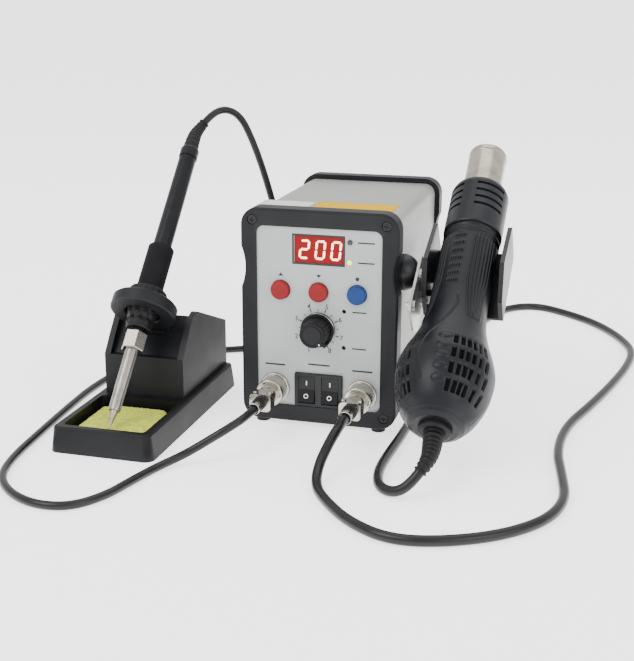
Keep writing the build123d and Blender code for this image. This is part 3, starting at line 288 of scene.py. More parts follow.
key_gloss = {"rough": 0.32, "wear": 0.0, "coat": 0.05, "specular": 0.2}
button_red = moulded("button_red", (0.20, 0.0015, 0.003), **key_gloss)
button_blue = moulded("button_blue", (0.001, 0.030, 0.15), **key_gloss)
case_paint = painted("case_paint", (0.29, 0.29, 0.28), rough=0.36)
panel_grey = painted("panel_grey", (0.37, 0.39, 0.395), rough=0.5, peel=1600.0)
bracket_lay = (700.0, 700.0, 90.0)
bracket_look = {"rough": 0.34, "stretch": bracket_lay, "tint": (0.42, 0.41, 0.38)}
bracket_zinc = metal("bracket_zinc", (0.56, 0.56, 0.53), **bracket_look)
label_white = painted("label_white", (0.72, 0.72, 0.70), rough=0.3, peel=300.0)
label_yellow = painted("label_yellow", (0.74, 0.43, 0.0), rough=0.6, peel=300.0, specular=0.05)
print_black = painted("print_black", (0.004, 0.004, 0.005), rough=0.4, peel=1600.0)
print_white = painted("print_white", (0.75, 0.76, 0.76), rough=0.4, peel=1600.0)
nickel = metal("nickel", (0.56, 0.53, 0.47), rough=0.14, scratch=0.12, tint=(0.44, 0.41, 0.35))
even_lay = (900.0, 900.0, 900.0)
zinc_steel = metal("zinc_steel", (0.62, 0.62, 0.60), rough=0.3, stretch=even_lay)
black_screw = metal("black_screw", (0.030, 0.030, 0.032), rough=0.34, stretch=even_lay)
stainless = metal("stainless", (0.50, 0.47, 0.40), rough=0.2, tint=(0.36, 0.32, 0.25))
barrel_steel = metal("barrel_steel", (0.40, 0.385, 0.36), rough=0.3, tint=(0.26, 0.24, 0.22))
nut_steel = metal("nut_steel", (0.33, 0.315, 0.285), rough=0.24, tint=(0.34, 0.32, 0.29))
tip_iron = metal("tip_iron", (0.50, 0.45, 0.36), rough=0.4, tint=(0.24, 0.20, 0.16))
soft_rubber = rubbery("soft_rubber", (0.003, 0.003, 0.004), rough=0.5)
foam = rubbery("foam", soft_black, rough=0.75, grain=2400.0, specular=0.15)
cord_silicone = rubbery("cord_silicone", soft_black, rough=0.3, grain=900.0, specular=0.34)
ceramic = moulded("ceramic", (0.62, 0.57, 0.48), rough=0.7, wear=0.0)
board_green = painted("board_green", (0.02, 0.16, 0.05), rough=0.35)
core_varnish = painted("core_varnish", (0.06, 0.045, 0.03), rough=0.4)
display_red = glowing("display_red", (0.20, 0.0, 0.001), 0.4)
figure_light = glowing("figure_light", (1.0, 0.60, 0.40), 3.6)
lamp_lit = glowing("lamp_lit", (0.80, 0.86, 0.10), 2.0)
lamp_off = moulded("lamp_off", (0.010, 0.010, 0.012), rough=0.15, wear=0.0, coat=0.6)
sponge_cellulose = sponge_material()

NODE_MATERIALS = {
    bezel_plastic: ("front_bezel", "rear_bezel", "display_module", "fan_motor", "fan_rotor"),
    case_paint: ("case_sleeve",),
    panel_grey: ("front_panel", "rear_panel"),
    soft_rubber: ("case_feet", "gun_relief", "iron_relief", "iron_grip"),
    zinc_steel: ("pot_shaft", "potentiometer", "holder_screws")
    + ("trim_screw_air", "trim_screw_solder"),
    black_screw: ("bezel_screws",),
    display_red: ("display_window",),
    lamp_off: ("panel_leds",),
    button_red: ("button_up", "button_down"),
    button_blue: ("button_set",),
    knob_plastic: ("knob",),
    rocker_plastic: ("switch_frame", "rocker_solder", "rocker_air", "mains_inlet"),
    nickel: ("solder_socket", "air_socket", "solder_plug", "air_plug")
    + ("solder_lock_ring", "air_lock_ring"),
    nut_steel: ("barrel_nut",),
    board_green: ("control_board",),
    core_varnish: ("power_transformer",),
    cradle_plastic: ("holder_boss", "gun_cradle"),
    bracket_zinc: ("holder_bracket",),
    gun_plastic: ("gun_shell_front", "gun_shell_back", "gun_end_cap", "gun_collar"),
    stainless: ("nozzle_tube",),
    barrel_steel: ("iron_barrel",),
    tip_iron: ("iron_tip",),
    ceramic: ("heater_core", "iron_heater"),
    handle_plastic: ("iron_neck", "iron_handle"),
    foam: ("iron_foam_sleeve",),
    stand_plastic: ("stand_base", "stand_block", "stand_ring"),
    sponge_cellulose: ("sponge",),
    cord_silicone: ("gun_cord_hang", "gun_cord_floor", "iron_cord_hang", "iron_cord_floor"),
}
for finish_material, names in NODE_MATERIALS.items():
    for name in names:
        for slot in nodes[name].material_slots:
            slot.material = finish_material


# ---------------------------------------------------------------- mesh helpers
def face_outward(mesh):
    """Joins doubled corners, such as those on a lathe's axis, and turns all faces outward."""
    work = bmesh.new()
    work.from_mesh(mesh)
    bmesh.ops.remove_doubles(work, verts=work.verts, dist=1e-7)
    bmesh.ops.recalc_face_normals(work, faces=work.faces)
    work.to_mesh(mesh)
    work.free()


def put_mesh(name, verts, faces, material, body, slot, smooth=35.0):
    """A mesh object that rides on a body, when one is given, smooth up to an angle in degrees."""
    mesh = bpy.data.meshes.new(name)
    mesh.from_pydata([tuple(v) for v in verts], [], faces)
    mesh.validate()
    face_outward(mesh)
    mesh.update()
    made = add_object(name, mesh)
    mesh.materials.append(material)
    if smooth:
        mesh.shade_smooth()
        mesh.set_sharp_from_angle(angle=math.radians(smooth))
    if body:
        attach(made, body)
    return made


def lathe(name, profile, origin, axis, material, body, slot, steps=96):
    """A closed (radius, along) outline, in millimetres, turned round an axis square to X."""
    other = axis.cross(X_AXIS)
    verts = []
    faces = []
    count = len(profile)
    for step in range(steps):
        turn = 2 * math.pi * step / steps
        spoke = X_AXIS * math.cos(turn) + other * math.sin(turn)
        for radius, along in profile:
            verts.append(origin + axis * (along * MM) + spoke * (radius * MM))
    for step in range(steps):
        after = (step + 1) % steps
        for index in range(count):
            nxt = (index + 1) % count
            here = step * count
            there = after * count
            faces.append((here + index, there + index, there + nxt, here + nxt))
    put_mesh(name, verts, faces, material, body, slot)


def slabs(name, outlines, depth_out, depth_in, material, body, slot):
    """Flat closed shapes, facing front: (x, z) outlines in millimetres between two depths."""
    verts = []
    faces = []
    for outline in outlines:
        start = len(verts)
        count = len(outline)
        for depth in (depth_out, depth_in):
            verts += [station(x, depth, z) for x, z in outline]
        faces.append(tuple(range(start, start + count)))
        faces.append(tuple(range(start + 2 * count - 1, start + count - 1, -1)))
        for index in range(count):
            nxt = (index + 1) % count
            faces.append((start + index, start + count + index, start + count + nxt, start + nxt))
    put_mesh(name, verts, faces, material, body, slot, 0)


def rectangle(x, z, width, height):
    """The corners of a rectangle round its middle."""
    left, right = x - width / 2, x + width / 2
    low, high = z - height / 2, z + height / 2
    return [(left, low), (right, low), (right, high), (left, high)]


def bar(angle, near, far, half_width, middle_z):
    """The corners of a bar on the front that points away from a middle, between two radii."""
    along = Vector((math.cos(angle), math.sin(angle)))
    side = Vector((-along.y, along.x)) * half_width
    corners = (along * near - side, along * far - side, along * far + side, along * near + side)
    return [(p.x, middle_z + p.y) for p in corners]


def thicken(made, thickness, offset, body):
    """Gives a sheet its thickness in millimetres, then lets it ride on a body."""
    thick = made.modifiers.new("thickness", "SOLIDIFY")
    thick.thickness = thickness * MM
    thick.offset = offset
    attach(made, body)


# ---------------------------------------------------------------- cords
GUN_FLOOR = 3.1
IRON_FLOOR = 2.6


def on_bench(height, *places):
    """Corners of a cord that lies on the bench, its middle at one height."""
    return [(x, y, height) for x, y in places]


gun_hang_route = (
    (82.0, -87.2, 15.1),
    (77.5, -91.7, 8.8),
    (69.5, -93.0, 3.6),
    *on_bench(
        GUN_FLOOR, (59.5, -87.0), (54.5, -70.0), (53.6, -48.0), (54.5, -30.0),
    ),
)
gun_floor_route = (
    *on_bench(
        GUN_FLOOR, (54.5, -30.0), (55.4, -12.0), (56.0, 28.0), (58.5, 85.0),
        (58.0, 150.0), (62.0, 215.0), (68.0, 270.0), (82.0, 312.0), (106.0, 326.0),
        (133.0, 308.0), (158.0, 283.0), (177.0, 250.0), (189.0, 213.0), (186.0, 175.0),
        (177.0, 130.0), (165.0, 82.0), (152.0, 38.0), (149.5, -5.0), (156.0, -45.0),
        (160.0, -75.0), (153.0, -103.0), (133.0, -127.0), (105.0, -143.0),
        (78.0, -148.0), (54.0, -134.0), (36.0, -113.0), (25.0, -95.0),
    ),
    (22.5, -79.5, 9.0),
    (25.5, -66.0, 18.5),
    (28.3, -54.0, 24.5),
    (28.3, -43.0, 24.5),
)
iron_route = (
    (-111.0, 101.5, 177.5),
    (-107.0, 108.5, 184.0),
    (-99.9, 117.6, 186.2),
    (-92.6, 125.6, 180.2),
    (-87.0, 130.5, 166.4),
    (-80.6, 134.8, 146.0),
    (-75.0, 139.0, 123.0),
    (-70.8, 143.2, 102.0),
    (-66.85, 146.6, 70.0),
    (-66.3, 147.0, 53.0),
    (-66.5, 147.5, 34.0),
    (-70.5, 147.5, 16.5),
    *on_bench(
        IRON_FLOOR, (-83.0, 145.0), (-102.0, 137.0), (-125.0, 123.5), (-150.0, 103.0),
        (-165.0, 68.0), (-169.0, 25.0), (-166.0, -20.0), (-162.0, -65.0),
        (-158.0, -105.0), (-150.0, -132.0), (-133.0, -150.0), (-113.0, -159.0),
        (-94.0, -156.0), (-82.0, -138.0), (-76.5, -115.0), (-70.5, -93.0),
    ),
    (-60.0, -79.0, 5.5),
    (-47.5, -72.0, 13.0),
    (-35.5, -65.5, 20.5),
    (-28.3, -54.5, 24.5),
    (-28.3, -43.0, 24.5),
)


def cord_curve(name, route, radius):
    """A smooth open spline along a route of corners, as a curve object."""
    data = bpy.data.curves.new(name, "CURVE")
    data.dimensions = "3D"
    data.resolution_u = 12
    spline = data.splines.new("NURBS")
    spline.points.add(len(route) - 1)
    for point, corner in zip(spline.points, route):
        point.co = (*station(*corner), 1.0)
    spline.order_u = 3
    spline.use_endpoint_u = True
    data.bevel_depth = radius
    data.bevel_resolution = 7
    data.use_fill_caps = True
    return add_object(name, data)


def spline_points(curve):
    """The points of a curve's own line, in the row frame."""
    bevel = curve.data.bevel_depth
    curve.data.bevel_depth = 0.0
    line = bpy.data.meshes.new_from_object(curve)
    curve.data.bevel_depth = bevel
    points = [Vector(v.co) for v in line.vertices]
    bpy.data.meshes.remove(line)
    return points


def cord_tube(name, route, radius):
    """A cord's tube as a mesh along its smooth line, with that line's points."""
    guide = cord_curve(name + "_guide", route, radius)
    guide.data.materials.append(cord_silicone)
    path = spline_points(guide)
    made = add_object(name, bpy.data.meshes.new_from_object(guide))
    made.data.shade_smooth()
    bpy.data.objects.remove(guide)
    return made, path


def declare_cord(replaced):
    """Hides the solids that a finished tube stands for."""
    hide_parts(*replaced)


GUN_CORD_R = 3.0 * MM
IRON_CORD_R = 2.5 * MM

bench_tube, bench_path = cord_tube("gun_cord_on_bench", gun_floor_route, GUN_CORD_R)
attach(bench_tube, "station")
bench_solids = ["gun_cord_floor"]
declare_cord(
    bench_solids
)

gun_tube, gun_path = cord_tube("gun_cord_to_gun", gun_hang_route, GUN_CORD_R)
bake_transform(gun_tube)
declare_cord(["gun_cord_hang"])

iron_tube, iron_path = cord_tube("iron_cord", iron_route, IRON_CORD_R)
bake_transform(iron_tube)
iron_solids = ["iron_cord_hang", "iron_cord_floor"]
declare_cord(iron_solids)

# ---------------------------------------------------------------- front panel marks
PANEL_FACE = 1.2
PRINT_OUT = PANEL_FACE - 0.05
PRINT_IN = PANEL_FACE + 0.02
DISPLAY_Z = 115.0
FIGURE_SIZE = (5.2, 10.8)
FIGURE_BAR = 1.35
FIGURE_LEAN = 0.10
BAR_GAP = 0.18


def figure_segments(digit, x):
    """The lit bars of a seven-bar figure, as outlines with mitred ends."""
    lit = {"0": "abcdef", "2": "abged"}[digit]
    width, height = FIGURE_SIZE
    half_w = width / 2
    half_h = height / 2
    corners = {
        "a": ((-half_w, half_h), (half_w, half_h)),
        "b": ((half_w, half_h), (half_w, 0)),
        "c": ((half_w, 0), (half_w, -half_h)),
        "d": ((-half_w, -half_h), (half_w, -half_h)),
        "e": ((-half_w, -half_h), (-half_w, 0)),
        "f": ((-half_w, 0), (-half_w, half_h)),
        "g": ((-half_w, 0), (half_w, 0)),
    }
    made = []
    for key in lit:
        (x0, z0), (x1, z1) = corners[key]
        along = Vector((x1 - x0, z1 - z0)).normalized()
        first = Vector((x0, z0)) + along * BAR_GAP
        last = Vector((x1, z1)) - along * BAR_GAP
        inward = along * FIGURE_BAR / 2
        side = Vector((-inward.y, inward.x))
        shape = (
            first,
            first + inward + side,
            last - inward + side,
            last,
            last - inward - side,
            first + inward - side,
        )
        made.append([(x + p.x + FIGURE_LEAN * p.y, DISPLAY_Z + p.y) for p in shape][::-1])
    return made


window_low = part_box("display_window")[0]
WINDOW_FACE = (window_low.y - STATION_Y) / MM
figures = []
for digit, figure_x in (("2", -9.2), ("0", 0.9), ("0", 10.9)):
    figures += figure_segments(digit, figure_x)
figures_out = WINDOW_FACE - 0.06
figures_in = WINDOW_FACE + 0.02
slabs("display_figures", figures, figures_out, figures_in, figure_light, "station", "display_red")

BORDER_WIDTH = 1.2
border = [
    rectangle(-0.2, DISPLAY_Z + 9.0, 33.6, BORDER_WIDTH),
    rectangle(-0.2, DISPLAY_Z - 9.0, 33.6, BORDER_WIDTH),
    rectangle(-16.4, DISPLAY_Z, BORDER_WIDTH, 16.8),
    rectangle(16.0, DISPLAY_Z, BORDER_WIDTH, 16.8),
]
slabs("display_border", border, PRINT_OUT, PRINT_IN, print_black, "station", "bezel_plastic")

KNOB_Z = 64.9
DIAL_START = 246.0
TICK_STEP = 22.0
TICK_FOOT = 11.5
LONG_TICK = (13.7, 0.36)
SHORT_TICK = (12.9, 0.26)
NUMBER_RADIUS = 15.4
NUMBER_SIZE = 4.3
dial = []
for step in range(15):
    reach, half_width = SHORT_TICK if step % 2 else LONG_TICK
    angle = math.radians(DIAL_START - TICK_STEP * step)
    dial.append(bar(angle, TICK_FOOT, reach, half_width, KNOB_Z))
slabs("dial_ticks", dial, PRINT_OUT, PRINT_IN, print_black, "station", "bezel_plastic")


def panel_text(name, text, x, z):
    """Generic figures printed on the panel, their middle at x, z."""
    data = bpy.data.curves.new(name, "FONT")
    data.body = text
    data.size = NUMBER_SIZE * MM
    data.align_x = "CENTER"
    data.align_y = "CENTER"
    data.extrude = 0.03 * MM
    data.offset = 0.06 * MM
    words = bpy.data.objects.new(name + "_outline", data)
    mesh = bpy.data.meshes.new_from_object(words)
    bpy.data.objects.remove(words)
    made = add_object(name, mesh)
    upright = Matrix.Rotation(math.pi / 2, 4, "X")
    made.matrix_world = Matrix.Translation(station(x, PANEL_FACE - 0.01, z)) @ upright
    mesh.materials.clear()
    mesh.materials.append(print_black)
    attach(made, "station")


for number in range(8):
    angle = math.radians(DIAL_START - 2 * TICK_STEP * number)
    number_x = NUMBER_RADIUS * math.cos(angle)
    number_z = KNOB_Z + NUMBER_RADIUS * math.sin(angle)
    panel_text(f"dial_number_{number + 1}", str(number + 1), number_x, number_z)

# Small pointers above the two red keys, a round mark above the blue one, and short bars where
# legends would stand beside the lamps, the trimmers, the switches and the sockets.
DOT_X, DOT_Z, DOT_R = 24.4, 98.4, 1.3
dot_turns = [math.radians(30 * k) for k in range(12)]
marks = [
    [(-26.0, 97.4), (-22.8, 97.4), (-24.4, 99.6)],
    [(-1.6, 99.6), (0.0, 97.4), (1.6, 99.6)],
    [(DOT_X + DOT_R * math.cos(turn), DOT_Z + DOT_R * math.sin(turn)) for turn in dot_turns],
    rectangle(29.8, 120.9, 10.5, 0.9),
    rectangle(29.8, 108.5, 10.5, 0.9),
    rectangle(26.0, 77.3, 9.0, 0.9),
    rectangle(26.0, 53.9, 9.0, 0.9),
    rectangle(0.3, 41.4, 14.0, 1.1),
    rectangle(-28.3, 39.6, 13.0, 1.1),
    rectangle(28.3, 39.6, 13.0, 1.1),
]
slabs("panel_marks", marks, PRINT_OUT, PRINT_IN, print_black, "station", "bezel_plastic")

LAMP_X = 19.6
LENS_RADIUS = 1.62
LENS_RISE = 1.1


def lens(name, z, material):
    """A low dome over one of the panel's lamps."""
    profile = [(0.0, -0.1)]
    for angle in range(90, 0, -15):
        turn = math.radians(angle)
        profile.append((LENS_RADIUS * math.sin(turn), LENS_RISE * math.cos(turn)))
    profile.append((0.0, LENS_RISE))
    lathe(name, profile, station(LAMP_X, 0.6, z), OUT, material, "station", "lamp_lens", 32)


# The soldering side's lamp is lit, the air side's is off.
lens("lamp_lens_solder", 108.5, lamp_lit)
lens("lamp_lens_air", 120.9, lamp_off)

# ---------------------------------------------------------------- knob trim
knob_origin = station(0.0, 0.0, KNOB_Z)
SKIRT_RING = [(10.35, 2.76), (10.9, 2.2), (10.95, 1.5), (10.83, 1.5), (10.75, 2.1), (10.3, 2.62)]
CAP_DISC = [(0.0, 14.46), (5.6, 14.46), (5.75, 14.6), (5.6, 14.74), (0.0, 14.80)]
lathe("knob_skirt_ring", SKIRT_RING, knob_origin, OUT, nickel, "air_knob", "knob_plastic")
lathe("knob_cap_disc", CAP_DISC, knob_origin, OUT, knob_plastic, "air_knob", "knob_plastic")
pointer = bar(math.radians(-50.0), 6.6, 7.7, 0.35, KNOB_Z)
slabs("knob_pointer", [pointer], -14.56, -14.3, print_white, "air_knob", "knob_plastic")


def raised_bars(name, count, origin, axis, spokes, ends, section, *finish):
    """Bars along an axis, evenly round it: (along, radius) ends, a (lift, half width) section."""
    verts = []
    faces = []
    for index in range(count):
        turn = 2 * math.pi * index / count
        spoke = spokes[0] * math.cos(turn) + spokes[1] * math.sin(turn)
        side = spokes[1] * math.cos(turn) - spokes[0] * math.sin(turn)
        start = len(verts)
        for along, radius in ends:
            for lift, wide in section:
                foot = origin + axis * (along * MM) + spoke * ((radius + lift) * MM)
                verts.append(foot + side * (wide * MM))
        faces += [(start + k, start + k + 4, start + k + 5, start + k + 1) for k in range(3)]
        faces += [(start + 3, start + 7, start + 4, start)]
        faces += [(start, start + 1, start + 2, start + 3)]
        faces += [(start + 7, start + 6, start + 5, start + 4)]
    put_mesh(name, verts, faces, *finish)


knob_ends = ((3.2, 8.72), (13.4, 7.9))
knob_section = ((-0.15, 0.45), (0.42, 0.2475), (0.42, -0.2475), (-0.15, -0.45))
knob_finish = (knob_plastic, "air_knob", "knob_plastic", 30)
knob_spokes = (X_AXIS, UP)
raised_bars(
    "knob_flutes", 24, knob_origin, OUT, knob_spokes, knob_ends, knob_section, *knob_finish
)

# ---------------------------------------------------------------- rocker marks
TILT = math.radians(10.0)
rocker_up = Vector((0, math.sin(TILT), math.cos(TILT)))
rocker_out = Vector((0, -math.cos(TILT), math.sin(TILT)))
VALLEY = 2.3
FACE_RISE = 1.1
FACE_HALF = 8.3
MARK_LIFT = 0.04


def rocker_point(pivot, x, up):
    """A point just off a rocker's V-shaped face."""
    out = VALLEY + FACE_RISE * abs(up) / FACE_HALF + MARK_LIFT
    return pivot + X_AXIS * (x * MM) + rocker_up * (up * MM) + rocker_out * (out * MM)


def rocker_marks(name, pivot, body):
    """A bar on the upper half and a ring on the lower half."""
    verts = []
    faces = []
    for x, up in ((-0.3, 2.6), (0.3, 2.6), (0.3, 5.4), (-0.3, 5.4)):
        verts.append(rocker_point(pivot, x, up))
    faces.append((0, 1, 2, 3))
    steps = 24
    ring_up = -4.4
    for radius in (1.0, 1.5):
        for step in range(steps):
            turn = 2 * math.pi * step / steps
            up = ring_up + radius * math.sin(turn)
            verts.append(rocker_point(pivot, radius * math.cos(turn), up))
    for step in range(steps):
        nxt = (step + 1) % steps
        faces.append((4 + step, 4 + nxt, 4 + steps + nxt, 4 + steps + step))
    made = put_mesh(name, verts, faces, print_white, None, "rocker_plastic", 0)
    thicken(made, 0.06, 0.0, body)


rocker_marks("rocker_solder_marks", station(-7.3, 1.6, 24.9), "solder_rocker")
rocker_marks("rocker_air_marks", station(7.9, 1.6, 24.9), "air_rocker")

# ---------------------------------------------------------------- labels on the sleeve
sleeve_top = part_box("case_sleeve")[1].z / MM


def top_label(name, x0, x1, y0, y1, material):
    """A blank sticker on the sleeve's top, a little wavy at its edges."""
    columns = 14
    rows = 8
    rest = 0.05
    wave = 0.03
    verts = []
    for row in range(rows + 1):
        for column in range(columns + 1):
            u = column / columns
            v = row / rows
            lift = rest + wave * math.sin(7 * u + 3 * v) * (abs(u - 0.5) * 2) ** 3
            verts.append(station(x0 + (x1 - x0) * u, y0 + (y1 - y0) * v, sleeve_top + lift))
    faces = []
    width = columns + 1
    for row in range(rows):
        for column in range(columns):
            a = row * width + column
            faces.append((a, a + 1, a + width + 1, a + width))
    made = put_mesh(name, verts, faces, material, None, "case_paint", 30)
    thicken(made, 0.1, -1.0, "station")


top_label("sleeve_label_white", -48.0, -14.5, 22.0, 47.0, label_white)
top_label("sleeve_label_yellow", -12.5, 40.0, 22.0, 50.0, label_yellow)

# ---------------------------------------------------------------- connector sleeves
SOCKET_Z = 24.5
RIB_PITCH = 1.65
RIB_SHRINK = 0.11
for plug_name, plug_x, bore in (("solder", -28.3, 2.5), ("air", 28.3, 3.0)):
    profile = [(bore + 0.1, 43.05), (bore + 0.1, 30.8), (bore + 1.6, 30.8), (bore + 1.7, 31.6)]
    for rib in range(6):
        at = 33.0 + RIB_PITCH * rib
        crest = bore + 1.65 - RIB_SHRINK * rib
        root = bore + 1.3 - RIB_SHRINK * rib
        profile += [(crest, at), (crest, at + 0.8), (root, at + 0.95), (root, at + 1.5)]
    profile += [(bore + 0.9, 43.2)]
    plug_origin = station(plug_x, 0.0, SOCKET_Z)
    sleeve_name = f"{plug_name}_plug_sleeve"
    lathe(sleeve_name, profile, plug_origin, OUT, soft_rubber, "station", "soft_rubber", 48)

# ---------------------------------------------------------------- gun body
gun_profile = np.array(
    [(4.0, 18.6), (8.0, 21.5), (14.0, 24.5), (21.0, 27.0), (30.0, 28.7), (38.0, 29.0), (48.0, 26.7)]
    + [(58.0, 23.0), (70.0, 19.6), (84.0, 17.8), (100.0, 17.4), (120.0, 17.4), (146.0, 17.4)]
)


def smooth_profile(along):
    """The gun's outer radius: the stations of its profile joined by a smooth cubic."""
    xs = gun_profile[:, 0]
    ys = gun_profile[:, 1]
    slopes = np.gradient(ys, xs)
    slopes[-3:] = 0
    index = np.clip(np.searchsorted(xs, along) - 1, 0, len(xs) - 2)
    step = xs[index + 1] - xs[index]
    t = (along - xs[index]) / step
    h00 = 2 * t**3 - 3 * t**2 + 1
    h10 = t**3 - 2 * t**2 + t
    h01 = -2 * t**3 + 3 * t**2
    h11 = t**3 - t**2
    near = h00 * ys[index] + h10 * step * slopes[index]
    far = h01 * ys[index + 1] + h11 * step * slopes[index + 1]
    return near + far


def soft_box(value, half, edge):
    """1 inside a band of half width, easing to 0 over edge."""
    t = np.clip((half + edge / 2 - np.abs(value)) / edge, 0, 1)
    return t * t * (3 - 2 * t)


# Places along the gun are in millimetres from its end cap, places round it in degrees from the
# side that faces up and front. The vents and ribs come in mirrored pairs about DETAIL_MIDDLE.
DETAIL_MIDDLE = -13.0
VENT_COLUMNS = ((15.0, 0.0), (24.0, 0.0), (32.0, 0.0), (40.0, 0.0), (48.5, 0.15), (57.0, 0.35))
VENT_ROWS = (15.0, 25.0, 35.0, 45.0)
VENT_HALF = (1.1, 3.6)
VENT_EDGE = (0.8, 0.9)
VENT_CUT = 1.7
# Vent faces cut deeper than this share of the vent depth get the painted shade material.
VENT_SHADE_DEPTH = 0.6
BUMP_ROWS = (96.7, 102.9, 108.9, 115.0, 121.4, 127.7, 134.0)
BUMP_COLUMNS = tuple(-26.0 + 4.6 * column for column in range(6))
RIBS = tuple(8.0 * rib - 24.0 for rib in range(7))
RINGS = (138.6, 141.2, 143.8)
SCOOPS = (17.5, 24.5, 31.5, 39.0, 47.0)
# Ovals are given as half width, half length and height, lines as half width, edge and height.
BUMP_OVAL = (1.9, 2.1, 0.75)
SCOOP_OVAL = (4.2, 2.6, 0.9)
RIB_LINE = (0.5, 0.7, 0.65)
RING_LINE = (0.45, 0.5, 0.55)
CONTOUR_LINE = (0.5, 0.7, 0.5)
SEAM_LINE = (0.12, 0.25, 0.35)
CONTOUR = (
    (86.0, 4.0),
    (80.0, 7.5),
    (70.0, -1.0),
    (60.0, -11.5),
    (50.0, -22.5),
    (42.0, -25.5),
    (32.0, -26.5),
    (18.0, -20.0),
)


def gun_relief_map(along, azimuth, radius):
    """Height of the moulded detail over the smooth skin, and how deep the vents are cut."""
    arc_mm = radius * math.pi / 180
    height = np.zeros_like(along)
    # finger bumps in rows on the front of the grip, their half width in degrees
    across, lengthwise, rise = BUMP_OVAL
    for row in BUMP_ROWS:
        for column in BUMP_COLUMNS:
            away = (azimuth - column) / across
            up = (along - row) / lengthwise
            height = np.maximum(height, rise * np.clip(1 - away**2 - up**2, 0, 1) ** 0.5)
    # long ribs down both sides of the grip, drawn together towards the bulb
    fan = np.clip(0.55 + (along - 70.0) * 0.015, 0.55, 1.0)
    reach = soft_box(along - 103.0, 33.0, 3.0)
    half, edge, rise = RIB_LINE
    for rib in RIBS:
        centre = 40.0 + rib * fan
        for away in (azimuth - centre, azimuth - (2 * DETAIL_MIDDLE - centre)):
            height = np.maximum(height, rise * soft_box(away * arc_mm, half, edge) * reach)
    # rings under the collar
    half, edge, rise = RING_LINE
    for ring in RINGS:
        height = np.maximum(height, rise * soft_box(along - ring, half, edge))
    # scoops in a column down the middle of the bulb
    across, lengthwise, rise = SCOOP_OVAL
    for scoop in SCOOPS:
        width = (azimuth - 2.0) * arc_mm / across
        up = (along - scoop) / lengthwise
        inside = np.clip(1 - width**2 - up**2, 0, 1)
        height = np.maximum(height, rise * inside**0.5)
    # raised line that wraps the bulb
    line_along = np.array([p[0] for p in CONTOUR[::-1]])
    line_azimuth = np.array([p[1] for p in CONTOUR[::-1]])
    centre = np.interp(along, line_along, line_azimuth)
    half, edge, rise = CONTOUR_LINE
    line = soft_box((azimuth - centre) * arc_mm, half, edge) * soft_box(along - 52.0, 34.0, 2.0)
    height = np.maximum(height, rise * line)
    # parting line of the two halves, sunk instead of raised
    half, edge, rise = SEAM_LINE
    height = height - rise * soft_box((np.abs(azimuth) - 90.0) * arc_mm, half, edge)
    # vents in slanting columns on both sides of the bulb
    depth = np.zeros_like(along)
    for column, slant in VENT_COLUMNS:
        for row in VENT_ROWS:
            centre = column + slant * (VENT_ROWS[-1] - row)
            mirrored = 2 * DETAIL_MIDDLE - centre
            reach = soft_box(along - row, VENT_HALF[1], VENT_EDGE[1])
            across = soft_box((azimuth - centre) * arc_mm, VENT_HALF[0], VENT_EDGE[0])
            depth = np.maximum(depth, across * reach)
            across = soft_box((azimuth - mirrored) * arc_mm, VENT_HALF[0], VENT_EDGE[0])
            depth = np.maximum(depth, across * reach * (azimuth < -30))
    return height, depth


def make_gun_body():
    """The gun's two shells as one detailed skin, closed at both ends, with painted shade on its
    deepest vent faces.
    """
    front = np.arange(-100.0, 100.01, 0.7)
    back = np.arange(105.0, 256.0, 5.0)
    azimuths = np.concatenate([front, back])
    bulb = np.arange(4.0, 52.0, 0.4)
    waist = np.arange(52.0, 94.0, 0.8)
    grip = np.arange(94.0, 145.7, 0.5)
    alongs = np.concatenate([bulb, waist, grip, [146.0]])
    grid_along, grid_azimuth = np.meshgrid(alongs, azimuths, indexing="ij")
    wrapped = (grid_azimuth + 180.0) % 360.0 - 180.0
    radius = smooth_profile(grid_along)
    height, depth = gun_relief_map(grid_along, wrapped, radius)
    skin = radius + height - VENT_CUT * depth
    turn = np.radians(grid_azimuth)
    x = skin * np.sin(turn)
    up = skin * np.cos(turn)
    origin = np.array(gun_cap)
    offset = x[..., None] * np.array(X_AXIS) + up[..., None] * np.array(gun_up)
    points = origin + MM * (offset + grid_along[..., None] * np.array(gun_axis))
    rows, columns = grid_along.shape
    verts = points.reshape(-1, 3).tolist()
    faces = []
    dark = []
    for row in range(rows - 1):
        for column in range(columns):
            nxt = (column + 1) % columns
            a = row * columns + column
            b = row * columns + nxt
            faces.append((a, b, b + columns, a + columns))
            # Faces deep in a vent take the second material, painted shade for the dark inside of
            # the vents.
            deep = min(depth[r, c] for r in (row, row + 1) for c in (column, nxt))
            dark.append(1 if deep > VENT_SHADE_DEPTH else 0)
    faces.append(tuple(range(columns - 1, -1, -1)))
    dark.append(0)
    last = (rows - 1) * columns
    faces.append(tuple(range(last, last + columns)))
    dark.append(0)
    mesh = bpy.data.meshes.new("gun_body")
    mesh.from_pydata(verts, [], faces)
    mesh.materials.append(gun_plastic)
    mesh.materials.append(gun_vent_painted_shade)
    mesh.polygons.foreach_set("material_index", dark)
    face_outward(mesh)
    mesh.update()
    mesh.shade_smooth()
    mesh.set_sharp_from_angle(angle=math.radians(50))
    made = add_object("gun_body", mesh)
    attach(made, "gun")
    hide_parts("gun_shell_front", "gun_shell_back")


make_gun_body()

# ---------------------------------------------------------------- nozzle rim
NOZZLE_RIM = [(12.52, 216.6), (12.75, 217.1), (12.75, 219.6), (12.4, 220.9), (11.7, 221.3)]
NOZZLE_RIM += [(11.2, 220.9), (11.2, 219.0), (11.6, 218.4), (11.9, 219.0)]
lathe("nozzle_rolled_rim", NOZZLE_RIM, gun_cap, gun_axis, stainless, "gun", "stainless")

# ---------------------------------------------------------------- iron grip
GRIP_PROFILE = [(67.7, 6.15), (67.7, 7.4), (68.5, 8.0), (75.0, 8.2), (77.0, 8.9), (79.0, 9.6)]
GRIP_PROFILE += [(82.0, 10.0), (85.0, 10.2), (87.6, 10.2), (87.7, 12.1), (88.1, 12.4)]
GRIP_PROFILE += [(94.2, 12.4), (95.1, 12.0), (95.7, 11.2), (95.7, 6.15)]
GRIP_STEP = 0.35
